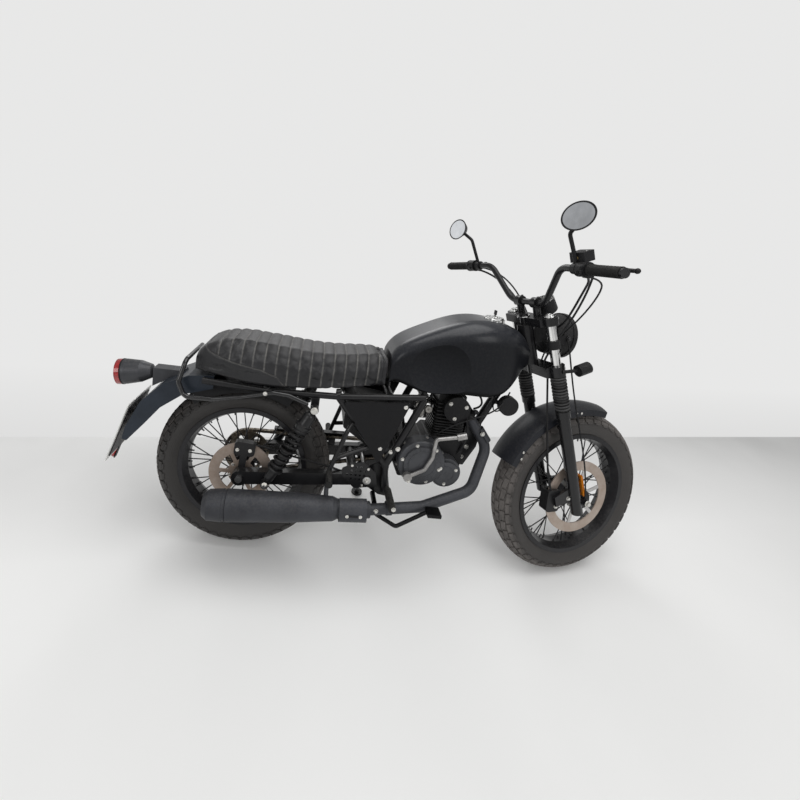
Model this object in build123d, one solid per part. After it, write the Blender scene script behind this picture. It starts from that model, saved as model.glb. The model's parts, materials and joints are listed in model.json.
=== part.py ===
"""Scrambler motorcycle, parked on its side stand with the steering turned to the left.

The motorcycle is drawn upright, with the floor under the rear axle as its zero point, +X forward and
+Y to its left. The front end is drawn in a frame of its own on the steering axis: first forward of
the axis, then to the left, then up the axis. At the end every piece is leaned onto the side stand
and written as one STEP file per node.
"""

import os
from math import asin, atan2, cos, degrees, hypot, radians, sin, sqrt

from build123d import *

# Stance
wheel_base = 1255
rake_angle = 21
fork_offset = 66
steer_angle = 14
lean_angle = 9
seat_gap = 0.3
play = 0.08
cut_over = 20

# Wheels
front_tyre_radius = 322
front_tyre_width = 110
front_crown_radius = 62
front_bead_radius = 230
front_rim_width = 92
front_disc_radius = 142
front_disc_plane = -62
front_flange_plane = 33
front_hub_end = 60
rear_tyre_radius = 314
rear_tyre_width = 126
rear_crown_radius = 72
rear_bead_radius = 217
rear_rim_width = 104
rear_disc_radius = 112
rear_disc_plane = -76
rear_flange_plane = 40
rear_hub_end = 74
tread_edge_angle = 50
side_bulge_share = 0.44
bead_height = 11
rim_flange = 3.5
rim_drop = 18
rim_lip_drop = 5
rim_well_share = 0.42
spoke_radius = 2
spoke_hole_count = 18
spoke_swing_angle = 35
spoke_hub_inset = 4
spoke_rim_share = 0.18
hub_radius = 26
hub_flange_radius = 44
hub_flange_thickness = 6
sprocket_carrier_radius = 48
sprocket_carrier_length = 12
disc_thickness = 4
disc_track = 36
disc_bore_radius = 24
disc_mount_radius = 46
disc_web_width = 13
disc_web_count = 6
sprocket_radius = 80
sprocket_plane = 78
sprocket_thickness = 5
sprocket_bore_radius = 30
sprocket_hole_radius = 11
sprocket_hole_ring = 58
sprocket_hole_count = 6
axle_radius = 7.5
axle_nut_radius = 12
axle_nut_length = 9
spacer_radius = 12

# Fork
leg_offset = 34
leg_half_spacing = 92
stanchion_radius = 16.5
lower_leg_radius = 21.5
lower_leg_foot = 38
lower_leg_top = 386
stanchion_depth = 60
collar_height = 27
collar_radius = 25
boot_radius = 26.5
boot_groove = 4.5
boot_rib_count = 10
bottom_clamp_base = 520
bottom_clamp_height = 38
top_clamp_base = 707
top_clamp_height = 28
clamp_boss_radius = 27
clamp_web_width = 50
stem_radius = 14
stem_nut_radius = 16
stem_nut_height = 10
bearing_height = 12
fork_cap_height = 7
fork_cap_radius = 13
axle_lug_radius = 16
axle_lug_inner = 78
axle_lug_outer = 108
fender_lug_height = 26
fender_lug_radius = 9

# Front fender
fender_gap = 18
fender_wall = 3
fender_half_width = 61
fender_lip = 20
fender_front_angle = 56
fender_rear_angle = 137
fender_crown_share = 0.12

# Front end fittings
lamp_reach = 100
lamp_height = 636
lamp_radius = 80
lamp_depth = 95
lamp_rim_width = 14
lamp_rim_step = 3
lamp_lens_sink = 5
lamp_ear_thickness = 6
lamp_ear_width = 30
meter_reach = 88
meter_radius = 40
meter_depth = 52
meter_tilt_angle = 14
meter_stem_radius = 7
bar_radius = 11
bar_reach = 26
riser_rise = 47
bar_height = top_clamp_base + top_clamp_height + riser_rise
meter_drop = 10
meter_height = bar_height - meter_drop
riser_half_spacing = 42
riser_radius = 13
riser_cap_radius = 19
riser_cap_width = 26
bar_half_width = 435
bar_rise = 130
bar_pull = 35
bar_flat_share = 0.2
bar_rise_share = 0.42
bar_bend = 60
grip_length = 126
grip_radius = 16.5
bar_end_radius = 14
bar_end_length = 9
switch_length = 40
switch_radius = 22
perch_length = 26
perch_radius = 17
lever_radius = 6
lever_reach = 62
lever_length = 165
lever_drop = 12
reservoir_length = 56
reservoir_width = 44
reservoir_height = 30
mirror_stem_radius = 6
mirror_rise = 150
mirror_out = 60
mirror_back = 10
mirror_width = 128
mirror_height = 82
mirror_depth = 22
mirror_wall_share = 0.9
signal_stalk_radius = 6
signal_stalk_length = 30
signal_radius = 20
signal_length = 46
caliper_length = 84
caliper_width = 56
caliper_gap = 14
caliper_wall = 12
caliper_angle = 161
reflector_height = 84
reflector_width = 30
reflector_depth = 8
hose_radius = 3.5

caliper_lug_shares = ((0, 0.3), (0, 0.75), (1, 0.9), (1, 0.2))
lever_knee_share = 0.7
reservoir_lead = 24
mirror_front_share = 0.62
mirror_glass = 2
mirror_glass_share = 0.985
mirror_knee_share = 0.6
lamp_back_share = 0.42
lamp_swell_share = 0.55
lamp_swell_radius_share = 0.86
lamp_bolt_radius = 7
lamp_lens_bulge = 9
meter_round = 9
meter_rim = 3
meter_dial_sink = 4
reflector_gap = 6
reflector_level = 70
reflector_clip_share = 0.3
hose_bend = 30
horn_lead = 45.6
horn_z = 657
horn_y = -52
horn_depth = 26
horn_radius = 35
horn_post_radius = 8
horn_reach = 37

# Chassis
head_tube_radius = 27
head_bore_radius = 20
spine_radius = 20
spine_head_height = 640
spine_rear_z = 706
spine_cross_z = 662
down_tube_radius = 16
down_tube_head_height = 622
down_tube_foot_x = 842
down_tube_foot_z = 566
cross_tube_radius = 13
tank_cross_x = 600
tank_cross_z = 675
gusset_half_width = 8
rail_radius = 11
rail_half_width = 106
rail_front_z = 674
rail_mid_x = 302
rail_mid_z = 644
rail_low_x = 60
rail_low_z = 636
rail_tail_x = -150
rail_tail_z = 648
brace_radius = 13
brace_half_width = 98
brace_foot_x = 514
brace_foot_z = 300
brace_knee_x = 541
brace_knee_z = 505
pivot_x = 440
pivot_z = 356
pivot_plate_inner = 84
pivot_plate_outer = 89.6
pivot_bolt_radius = 8

# Swing arm and shocks
arm_inner = 90
arm_outer = 120
arm_pivot_radius = 25
arm_axle_radius = 27
arm_cross_radius = 18
arm_cross_setback = 46
shock_top_x = 227
shock_top_z = 604
shock_foot_x = 92
shock_foot_z = 318
shock_half_width = 141
shock_eye_radius = 14
shock_eye_half_length = 12
shock_rod_radius = 7
shock_body_radius = 18
shock_coil_radius = 24
shock_wire_radius = 5
shock_coil_turns = 7
shock_coil_start_share = 0.2
shock_coil_end_share = 0.78
shock_pin_radius = 8

# Tank, cap and seat
tank_base_z = 696
tank_height = 264
tank_half_width = 128
tank_notch_gap = 6
tunnel_gap = 6
tank_pad_radius = 12
tank_pad_half_spacing = 60
cap_x = 826
cap_radius = 37
cap_seat_z = 945
cap_height = 18
cap_lip = 5
cap_scallop_count = 8
cap_scallop_radius = 7
knee_x = 590
knee_z = 772
knee_radius = 400
knee_depth = 12
knee_side_share = 0.9
seat_tail_x = -192
seat_length = 657
tank_seat_gap = 1
tank_front_x = 966
tank_rear_x = seat_tail_x + seat_length + tank_seat_gap
tank_length = tank_front_x - tank_rear_x
spine_lead = 12
spine_rear_x = tank_rear_x + spine_lead
seat_base_z = 652
seat_height = 145
seat_half_width = 128
seat_pad_radius = 10

# Covers and air box
cover_thickness = 9
cover_step = 4
cover_round = 24
cover_left_x = 322
cover_length = 230
cover_base_z = 424
cover_height = 230
air_box_x = 335
air_box_length = 172
air_box_base_z = 470
air_box_height = 158
air_box_half_width = 82
air_box_round = 12

# Engine
case_x = 532
case_length = 246
case_base_z = 357
case_height = 165
case_half_width = 70
case_round = 10
clutch_x = 622
clutch_z = 440
clutch_radius = 83
filter_x = 716
filter_z = 408
filter_radius = 54
clutch_cover_depth = 56
clutch_cover_round = 14
clutch_dome_radius = 64
clutch_dome_height = 7
filter_cap_radius = 44
filter_cap_height = 9
generator_x = 672
generator_z = 432
generator_radius = 66
generator_depth = 44
generator_round = 12
barrel_x = 716
barrel_length = 116
barrel_width = 124
barrel_height = 60
barrel_core_radius = 47
fin_thickness = 4
fin_count = 6
fin_round = 14
head_height = 92
head_core_length = 100
head_core_width = 96
head_fin_count = 5
cam_cover_radius = 47
cam_cover_depth = 18
cam_cover_z = 633
port_radius = 24
port_length = 16
rocker_length = 88
rocker_width = 74
rocker_height = 12
carb_radius = 23
carb_z = 612
carb_bowl_radius = 22
carb_bowl_depth = 46
carb_top_radius = 20
carb_top_height = 38
mount_plate_half_spacing = 14
mount_plate_thickness = 6
mount_bolt_radius = 6
mount_bolt_head = 9
mount_x = 782
mount_z = 396
mount_length = 74
mount_height = 184
rear_bolt_x = 534
rear_bolt_z = 478

# Exhaust
header_radius = 19
header_bend = 62
shield_radius = 26
shield_wall = 2
muffler_front_x = 456
muffler_front_z = 286
muffler_y = -186
muffler_rear_x = -96
muffler_rear_z = 250
muffler_shell_radius = 52
muffler_bore_radius = 22
muffler_bore_depth = 60
muffler_wall_step = 2
muffler_guard_start = 14
muffler_guard_length = 92
muffler_guard_radius = 41
muffler_guard_wall = 2
muffler_guard_post_radius = 4
muffler_guard_post_shares = (0.22, 0.78)
header_end_gap = 6

# Tail
fender_inner_radius = 328
rear_fender_half_width = 78
rear_fender_wall = 3
rear_fender_lip = 34
rear_fender_front_angle = 62
rear_fender_rear_angle = 127
cowl_x = -405
cowl_length = 320
cowl_base_z = 400
cowl_height = 262
cowl_half_width = rail_half_width - rail_radius - seat_gap
cowl_wall = 4
lamp_rear_x = -462
lamp_rear_z = 606
tail_lamp_length = 122
tail_lamp_radius = 44
tail_lamp_tilt_angle = 8
tail_lens_depth = 14
tail_bracket_width = 50
plate_width = 200
plate_height = 224
plate_thickness = 3
plate_top_x = -384
plate_top_z = 530
plate_tilt_angle = 18
plate_arm_radius = 7
rail_tube_radius = 8

# Controls and pegs
peg_x = 518
peg_z = 328
peg_inner = 128
peg_length = 112
peg_radius = 13
peg_mount_radius = 9
brake_pedal_radius = 7
brake_pad_length = 46
brake_pad_thickness = 12
kick_x = 574
kick_z = 397
kick_radius = 7
kick_boss_radius = 15
shift_radius = 6

# Chain line
chain_plane = 78
chain_width = 9
chain_height = 12
rear_pitch_radius = 87
front_pitch_radius = 29
front_sprocket_x = 566
front_sprocket_z = 385
chain_guard_gap = 8
chain_guard_wall = 2.5
chain_guard_width = 26
chain_guard_start_share = 0.16
chain_guard_end_share = 0.66
sprocket_cover_x = 530
sprocket_cover_length = 74
sprocket_cover_base_z = 338
sprocket_cover_height = 96
sprocket_cover_depth = 36
sprocket_cover_wall = 5

# Side stand
stand_x = 452
stand_z = 268
stand_y = 132
stand_spread = 124
stand_lead = 26
stand_radius = 10
stand_foot_radius = 24
stand_foot_height = 8
stand_ear_radius = 17
stand_ear_thickness = 22
stand_pin_radius = 7
stand_head_radius = 11
stand_sweep_radius = 44
stand_bracket_shares = ((0.5, 1), (0.98, 1), (1, 0.55), (0.5, 0.1), (0.1, 0), (0, 0.35), (0.2, 0.62))
stand_bracket_x = 434
stand_bracket_length = 92
stand_bracket_base_z = 246
stand_bracket_height = 72
stand_bracket_outer = 124

# Outlines, as shares of each piece's length and height
pivot_plate_x = 414
pivot_plate_length = 130
pivot_plate_base_z = 282
pivot_plate_height = 208
pivot_plate_round = 6
pivot_plate_shares = (
    (0, 0.36), (0.12, 0.2), (0.62, 0.02), (0.86, 0), (0.92, 0.1), (0.8, 0.45),
    (0.8, 0.62), (1, 0.9), (1, 0.98), (0.88, 1), (0.55, 0.62), (0.12, 0.5),
)
mount_shares = ((0, 0), (0.4, 0), (0.9, 0.42), (1, 0.8), (0.9, 0.98), (0.25, 0.98), (0.1, 0.5), (0, 0.26))
mount_lug_share = 0.14
gusset_shares = ((0.49, 0.467), (0.14, 0.88), (0.88, 0.92))
case_shares = (
    (0.1, 0), (0.84, 0), (1, 0.22), (1, 0.86), (0.94, 1), (0.46, 1), (0.4, 0.88), (0.05, 0.88), (0, 0.7), (0, 0.3),
)
cover_shares = ((0, 0.9), (1, 1), (0.66, 0), (0.62, 0))
cover_lower_share = 0.4
air_box_shares = ((0, 0.35), (0.5, 0), (1, 0.1), (1, 0.9), (0.2, 1), (0, 0.85))
sprocket_cover_shares = ((0, 0.1), (0.35, 0), (0.85, 0), (1, 0.25), (1, 0.8), (0.8, 1), (0, 1))
guard_x = 348
guard_length = 131
guard_base_z = 323
guard_height = 101
guard_y = 123
guard_thickness = 3
guard_round = 9
guard_shares = ((0, 0.71), (0.3, 0.93), (0.57, 1), (0.92, 0.63), (1, 0.15), (0.39, 0), (0.02, 0.42))
guard_hole_radius = 4.5
guard_hole_pitch = 15
guard_post_radius = 6
guard_post_shares = ((0.36, 0.36), (0.7, 0.53))
cowl_shares = (
    (0.9, 1), (0.64, 0.97), (0.36, 0.8), (0.17, 0.55), (0.03, 0.19), (0, 0.02), (0.05, 0),
    (0.23, 0.27), (0.375, 0.5), (0.6, 0.71), (0.8, 0.79), (0.9, 0.83),
)
cowl_top_count = 6
lamp_bracket_shares = ((0, 0.32), (0, 1), (0.95, 1), (1, 0.86), (0.45, 0.62))
lamp_bracket_x = -338.6
lamp_bracket_length = 108
lamp_bracket_base_z = 545
lamp_bracket_height = 97
tail_stations = ((0, 0.3), (0.06, 0.55), (0.35, 0.86), (0.75, 1), (1, 1))
tail_lens_share = 0.9
plate_back_share = 0.86
plate_arm_shares = (0.2, 0.42)
plate_arm_share = 0.2
plate_reflector_gap = 2
rear_reflector_radius = 18
muffler_stations = (
    (0, 0.5), (0.2, 0.62), (0.23, 0.76), (0.5, 0.92), (0.86, 1), (0.865, 0.96), (0.88, 0.96),
    (0.885, 1), (0.97, 0.94), (1, 0.7),
)
header_points = ((794, -38, 594), (868, -62, 500), (815, -122, 356), (640, -162, 300), (440, -186, 284))
shield_start_share = 0.42
shield_end_share = 0.86
shield_post_share = 0.1
shield_cut = 8
kick_points = ((629, 428), (650, 475), (652, 545), (722, 560))
kick_bend = 14
kick_boss_length = 18
kick_tip = 30
kick_tip_share = 0.8
shift_points = ((612, 370), (690, 330), (752, 338))
pedal_points = ((474, -146, 290), (480, -150, 250), (552, -190, 234), (650, -198, 306))
brake_bend = 16
brake_pivot_outer = 150
grab_points = ((200, 614), (136, 636), (83, 639), (-18, 612), (-112, 594), (-200, 592), (-222, 640))
grab_half_width = 126
grab_rear_half_width = 106
grab_top_x = -208
grab_top_z = 712
grab_bend = 28
grab_sink = 2
chain_guard_rise = 6
chain_post_shares = (0.2, 0.8)
arm_waist_share = 0.8
arm_top_clear = 1.2
rear_caliper_wall = 6.7
rear_caliper_angle = 86
rear_caliper_share = 0.86
rear_lug_radius = 9
pivot_nut_radius = 14
shock_lug_width = 14
shock_pin_end = 3
rail_bend_radius = 120
brace_bend = 60
brace_low_x = 500
brace_low_z = 405
hanger_top_z = 562
hanger_step = 24
hanger_x = 303
hanger_y = 140
hanger_peg_z = 386
hanger_muffler_z = 342
passenger_peg_length = 78
passenger_peg_radius = 11
carb_rear_x = 585
cam_lead = 12
head_fin_share = 0.74
guard_holes = (
    (-3, 0), (-2, 0), (-1, 0), (0, 0), (1, 0), (2, 0), (-2, 1), (-1, 1), (0, 1), (1, 1),
    (-2, -1), (-1, -1), (0, -1), (1, -1), (2, -1), (-1, 2), (0, 2),
)
tunnel_step_count = 5
seat_round_share = 0.3
seat_low_round_share = 0.12

# Stations of the tank: along, low, high, half width, top rounding, low rounding
tank_stations = (
    (0, 0.02, 0.4, 0.74, 0.4, 0.1),
    (0.2, 0, 0.73, 0.86, 0.45, 0.14),
    (0.4, 0, 0.91, 0.96, 0.5, 0.16),
    (0.62, 0.02, 1, 1, 0.55, 0.18),
    (0.8, 0.05, 0.96, 0.82, 0.6, 0.24),
    (0.93, 0.27, 0.84, 0.5, 0.7, 0.5),
    (1, 0.4, 0.7, 0.27, 0.7, 0.6),
)

# Stations of the seat: along, low, high, half width
seat_stations = (
    (0, 0.11, 0.43, 0.56),
    (0.06, 0.14, 0.8, 0.82),
    (0.155, 0.1, 0.94, 0.95),
    (0.38, 0, 0.95, 1),
    (0.57, 0.04, 0.89, 1),
    (0.75, 0.12, 0.9, 0.94),
    (0.9, 0.22, 0.97, 0.82),
    (0.995, 0.29, 0.96, 0.74),
)

# Frames of reference
steering_origin = (
    wheel_base - fork_offset * cos(radians(rake_angle)),
    front_tyre_radius - fork_offset * sin(radians(rake_angle)),
)
FORK_PLANE = Plane(
    origin=(steering_origin[0], 0, steering_origin[1]),
    x_dir=(cos(radians(rake_angle)), 0, sin(radians(rake_angle))),
    z_dir=(-sin(radians(rake_angle)), 0, cos(radians(rake_angle))),
)


def on_axis(reach, height):
    """The upright place, as x and z, of a point forward of the steering axis and up along it."""
    forward = (cos(radians(rake_angle)), sin(radians(rake_angle)))
    up = (-forward[1], forward[0])
    x = steering_origin[0] + reach * forward[0] + height * up[0]
    z = steering_origin[1] + reach * forward[1] + height * up[1]
    return x, z


# Shapes used by many pieces
def rod(start, end, radius):
    """A round bar from one point to another."""
    run = Vector(*end) - Vector(*start)
    base = Plane(origin=start, z_dir=run)
    return base * Cylinder(radius, run.length, align=(Align.CENTER, Align.CENTER, Align.MIN))


def cross_rod(x, z, low, high, radius):
    """A round bar across the motorcycle."""
    return rod((x, low, z), (x, high, z), radius)


def bent_tube(points, bend, radius):
    """A round bar along straight runs that are joined by tangent arcs."""
    path = FilletPolyline(*points, radius=bend)
    return sweep(Plane(origin=path @ 0, z_dir=path % 0) * Circle(radius), path=path)


def side_face(outline, plane_y, rounding=0):
    """A face in the side view, with its corners rounded."""
    sketch = Polygon(*outline, align=None)
    if rounding:
        sketch = fillet(sketch.vertices(), rounding)
    return Plane(origin=(0, plane_y, 0), x_dir=(1, 0, 0), z_dir=(0, -1, 0)) * sketch


def side_plate(outline, low, high, rounding=0):
    """A plate in the side view, between two distances off the centre plane."""
    return extrude(side_face(outline, high, rounding), amount=high - low, dir=(0, -1, 0))


def spread(shares, x, z, length, height):
    """Points of an outline whose shares run along a length and up a height."""
    return [(x + along * length, z + up * height) for along, up in shares]


def both(shape):
    """A shape and its mirror image on the other side of the centre plane."""
    return shape + mirror(shape, about=Plane.XZ)


def lathe(outline):
    """A ring round the axle from an outline of (place along the axle, radius)."""
    face = Plane.YZ * Polygon(*outline, align=None)
    return revolve(face, Axis.Y)


def barrel_between(half_width, radius, inner=0):
    """A drum on the axle, solid or with a bore."""
    return lathe([(-half_width, inner), (half_width, inner), (half_width, radius), (-half_width, radius)])


def ring_at(plane_y, thickness, radius, inner):
    """A flat ring on the axle."""
    low, high = plane_y - thickness / 2, plane_y + thickness / 2
    return lathe([(low, inner), (high, inner), (high, radius), (low, radius)])


# Wheels, drawn round the axle
def tyre(radius, width, crown, bead, rim_width):
    """A tyre with a round crown and bulged side walls, seated between the rim's flanges."""
    edge_y = crown * sin(radians(tread_edge_angle))
    edge_r = radius - crown + crown * cos(radians(tread_edge_angle))
    bead_y = rim_width / 2 - rim_flange - seat_gap
    bulge_r = bead + side_bulge_share * (radius - bead)
    crown_arc = ThreePointArc((-edge_y, edge_r), (0, radius), (edge_y, edge_r))
    right = ThreePointArc((edge_y, edge_r), (width / 2, bulge_r), (bead_y, bead + bead_height))
    foot = Polyline(
        (bead_y, bead + bead_height), (bead_y, bead), (-bead_y, bead), (-bead_y, bead + bead_height)
    )
    left = ThreePointArc((-bead_y, bead + bead_height), (-width / 2, bulge_r), (-edge_y, edge_r))
    return revolve(Plane.YZ * make_face([crown_arc, right, foot, left]), Axis.Y)


def rim(bead, width):
    """A spoked rim: two flanges, the seat between them and a well on the hub's side."""
    half = width / 2
    seat = bead - seat_gap
    well = rim_well_share * half
    side = [
        (half, bead + bead_height),
        (half - rim_flange, bead + bead_height),
        (half - rim_flange, seat),
    ]
    under = [(half, seat - rim_lip_drop), (well, seat - rim_drop)]
    mirrored = [(-y, r) for y, r in reversed(side)]
    below = [(-y, r) for y, r in under]
    return lathe(side + mirrored + below + list(reversed(under)))


def spoke_and_hub(flange_plane, hub_end, bead, rim_width):
    """A hub with two flanges and crossed spokes that end at the rim's well."""
    hub = barrel_between(hub_end, hub_radius)
    for side in (1, -1):
        hub += ring_at(side * flange_plane, hub_flange_thickness, hub_flange_radius, hub_radius)
    rim_r = bead - seat_gap - rim_drop
    hub_r = hub_flange_radius - spoke_hub_inset
    step = 360 / spoke_hole_count
    spokes = []
    for side in (1, -1):
        for hole in range(spoke_hole_count):
            turn = spoke_swing_angle * side * (-1) ** hole
            at_hub = radians(hole * step)
            at_rim = radians(hole * step + turn)
            far_r = rim_r + spoke_radius
            start = (hub_r * cos(at_hub), side * flange_plane, hub_r * sin(at_hub))
            end = (far_r * cos(at_rim), side * spoke_rim_share * rim_width / 2, far_r * sin(at_rim))
            spokes.append(rod(start, end, spoke_radius))
    whole = hub + spokes
    whole = whole & barrel_between(hub_end, rim_r - seat_gap / 2)
    return whole - barrel_between(hub_end + cut_over, axle_radius + play)


def brake_disc(radius, plane_y, carrier_radius):
    """A brake disc: a flat track held by webs to a carrier ring on the hub."""
    disc = ring_at(plane_y, disc_thickness, radius, radius - disc_track)
    disc += ring_at(plane_y, disc_thickness, carrier_radius, disc_bore_radius)
    reach = radius - disc_track / 2
    web = Box(reach, disc_thickness, disc_web_width, align=(Align.MIN, Align.CENTER, Align.CENTER))
    web = Pos(0, plane_y, 0) * web - barrel_between(abs(plane_y) + cut_over, carrier_radius - disc_thickness)
    for step in range(disc_web_count):
        disc += Rot(0, step * 360 / disc_web_count, 0) * web
    return disc


def rear_sprocket():
    """The driven sprocket, with a ring of lightening holes."""
    plate = ring_at(sprocket_plane, sprocket_thickness, sprocket_radius, sprocket_bore_radius)
    drill = cross_rod(
        sprocket_hole_ring, 0, sprocket_plane - cut_over, sprocket_plane + cut_over, sprocket_hole_radius
    )
    for step in range(sprocket_hole_count):
        plate -= Rot(0, step * 360 / sprocket_hole_count, 0) * drill
    return plate


# Fork and steering, drawn on the steering axis
def fork_clamps():
    """The two clamps, with the stem, its bearings and its nut between and above them."""
    shape = rod((0, 0, bottom_clamp_base), (0, 0, top_clamp_base + top_clamp_height), stem_radius)
    head_low = bottom_clamp_base + bottom_clamp_height
    for base, height in ((bottom_clamp_base, bottom_clamp_height), (top_clamp_base, top_clamp_height)):
        web = Box(
            clamp_web_width, 2 * leg_half_spacing, height, align=(Align.CENTER, Align.CENTER, Align.MIN)
        )
        shape += Pos(leg_offset / 2, 0, base) * web
        for side in (1, -1):
            place = (leg_offset, side * leg_half_spacing, base)
            top = (leg_offset, side * leg_half_spacing, base + height)
            shape += rod(place, top, clamp_boss_radius)
    for side in (1, -1):
        low = (leg_offset, side * leg_half_spacing, bottom_clamp_base - cut_over)
        high = (leg_offset, side * leg_half_spacing, top_clamp_base + top_clamp_height + cut_over)
        shape -= rod(low, high, stanchion_radius + play)
    for low in (head_low + seat_gap, top_clamp_base - seat_gap - bearing_height):
        shape += rod((0, 0, low), (0, 0, low + bearing_height), head_bore_radius - play)
    top = top_clamp_base + top_clamp_height
    return shape + rod((0, 0, top), (0, 0, top + stem_nut_height), stem_nut_radius)


def stanchions():
    """The two bright fork tubes with their cap bolts."""
    top = top_clamp_base + top_clamp_height
    shape = Part()
    for side in (1, -1):
        y = side * leg_half_spacing
        shape += rod((leg_offset, y, lower_leg_top - stanchion_depth), (leg_offset, y, top), stanchion_radius)
        shape += rod((leg_offset, y, top), (leg_offset, y, top + fork_cap_height), fork_cap_radius)
    return shape


def fork_boots():
    """Two rubber bellows between the bottom clamp and the lower legs."""
    base = lower_leg_top + seat_gap
    top = bottom_clamp_base - seat_gap
    pitch = (top - base) / boot_rib_count
    inner = stanchion_radius + seat_gap
    outline = [(inner, base)]
    for rib in range(boot_rib_count):
        low = base + rib * pitch
        outline += [
            (boot_radius - boot_groove, low),
            (boot_radius, low + pitch / 3),
            (boot_radius, low + 2 * pitch / 3),
        ]
    outline += [(boot_radius - boot_groove, top), (inner, top)]
    boot = revolve(Plane.XZ * Polygon(*outline, align=None), Axis.Z)
    return both(Pos(leg_offset, leg_half_spacing, 0) * boot)


def lower_legs():
    """The two lower fork legs, each with a collar, a leading axle lug and a fender lug."""
    y = leg_half_spacing
    leg = rod((leg_offset, y, -lower_leg_foot), (leg_offset, y, lower_leg_top), lower_leg_radius)
    leg += rod((leg_offset, y, lower_leg_top - collar_height), (leg_offset, y, lower_leg_top), collar_radius)
    lug_width = axle_lug_outer - axle_lug_inner
    lug_y = (axle_lug_outer + axle_lug_inner) / 2
    web = Box(
        fork_offset - leg_offset,
        lug_width,
        2 * axle_lug_radius,
        align=(Align.MIN, Align.CENTER, Align.CENTER),
    )
    leg += Pos(leg_offset, lug_y, 0) * web
    leg += cross_rod(fork_offset, 0, axle_lug_inner, axle_lug_outer, axle_lug_radius)
    leg -= cross_rod(fork_offset, 0, axle_lug_inner - cut_over, axle_lug_outer + cut_over, axle_radius + play)
    bore_low = (leg_offset, y, lower_leg_top - stanchion_depth - play)
    leg -= rod(bore_low, (leg_offset, y, lower_leg_top + cut_over), stanchion_radius + play)
    lug_z = fender_lug_level()
    for z in (lug_z - fender_lug_height, lug_z):
        lug = cross_rod(leg_offset, z, fender_half_width + seat_gap, y, fender_lug_radius)
        leg += lug - rod(
            (leg_offset, y, z - cut_over), (leg_offset, y, z + cut_over), lower_leg_radius - play,
        )
    return both(leg)


def fender_lug_level():
    """How far above the axle the upper of the two fender lugs lies."""
    inner = front_tyre_radius + fender_gap
    back = fork_offset - leg_offset
    return sqrt(inner**2 - back**2) - fender_lug_radius / 2


def front_axle():
    """The front axle with its nuts and the spacers that hold the hub between the legs."""
    half = axle_lug_outer + axle_nut_length
    shape = cross_rod(fork_offset, 0, -half, half, axle_radius)
    nut = cross_rod(fork_offset, 0, axle_lug_outer, half, axle_nut_radius)
    spacer = cross_rod(
        fork_offset, 0, front_hub_end + disc_thickness + seat_gap, axle_lug_inner, spacer_radius,
    )
    return shape + both(nut + spacer)


def front_fender():
    """A short fender: a crowned strip round the tyre with a lip down each side."""
    inner = front_tyre_radius + fender_gap
    outer = inner + fender_wall
    crown = fender_crown_share * fender_half_width * 2
    half = fender_half_width
    top = ThreePointArc((-half, outer), (0, outer + crown), (half, outer))
    side = Polyline(
        (half, outer),
        (half, inner - fender_lip),
        (half - fender_wall, inner - fender_lip),
        (half - fender_wall, inner),
    )
    under = ThreePointArc((half - fender_wall, inner), (0, inner + crown), (fender_wall - half, inner))
    back = Polyline(
        (fender_wall - half, inner),
        (fender_wall - half, inner - fender_lip),
        (-half, inner - fender_lip),
        (-half, outer),
    )
    face = Plane.YZ * make_face([top, side, under, back])
    sweep_angle = fender_rear_angle - fender_front_angle
    strip = revolve(face, Axis.Y, revolution_arc=-sweep_angle)
    return Pos(fork_offset, 0, 0) * (Rot(0, 90 - fender_front_angle, 0) * strip)


def caliper_block(low, high, plane_y, centre, angle, length, width):
    """A brake caliper: a block that straddles a disc, with an open slot for it."""
    middle = (low + high) / 2
    block = Box(width, high - low, length)
    block = fillet(block.edges().filter_by(Axis.Y), caliper_wall)
    slot = Box(width + cut_over, caliper_gap, length + cut_over)
    slot = Pos(-caliper_wall / 2 - cut_over / 2, plane_y - middle, 0) * slot
    place = Pos(centre[0], middle, centre[1]) * Rot(0, -angle, 0)
    return place * (block - slot)


def front_caliper():
    """The front brake caliper, behind the right fork leg."""
    reach = front_disc_radius - disc_track / 2
    angle = radians(caliper_angle)
    centre = (fork_offset + reach * cos(angle), reach * sin(angle))
    half = caliper_gap / 2 + caliper_wall
    low, high = front_disc_plane - half, front_disc_plane + half
    return caliper_block(low, high, front_disc_plane, centre, caliper_angle, caliper_length, caliper_width)


def caliper_lug():
    """The plate on the right lower leg that carries the caliper on its inner face."""
    outer = front_disc_plane - caliper_gap / 2 - caliper_wall
    reach = front_disc_radius - disc_track / 2
    angle = radians(caliper_angle)
    x = fork_offset + reach * cos(angle)
    z = reach * sin(angle)
    outline = spread(caliper_lug_shares, x, z - caliper_length / 2, leg_offset - x, caliper_length)
    return side_plate(outline, outer - caliper_wall, outer)


def bar_path():
    """Corner points of the handlebar, from its right end to its left end."""
    right = [
        (bar_reach - bar_pull, -bar_half_width, bar_height + bar_rise),
        (bar_reach, -bar_rise_share * bar_half_width, bar_height + bar_rise),
        (bar_reach, -bar_flat_share * bar_half_width, bar_height),
    ]
    return right + [(x, -y, z) for x, y, z in reversed(right)]


def bar_place(side, inset, forward=0, up=0):
    """A point on the bar's end run, this far in from its end, moved forward and up."""
    end, knee = bar_path()[0], bar_path()[1]
    run = Vector(*knee) - Vector(*end)
    spot = Vector(*end) + run.normalized() * inset
    return (spot.X + forward, side * abs(spot.Y), spot.Z + up)


def bar_sleeve(side, start, length, radius):
    """A sleeve on the bar, bored to fit it."""
    low, high = bar_place(side, start), bar_place(side, start + length)
    inner_low = bar_place(side, start - cut_over)
    inner_high = bar_place(side, start + length + cut_over)
    return rod(low, high, radius) - rod(inner_low, inner_high, bar_radius + play)


def handlebar():
    """The bar with its end weights."""
    shape = bent_tube(bar_path(), bar_bend, bar_radius)
    for side in (1, -1):
        shape += rod(bar_place(side, -bar_end_length), bar_place(side, 0), bar_end_radius)
    return shape


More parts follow.
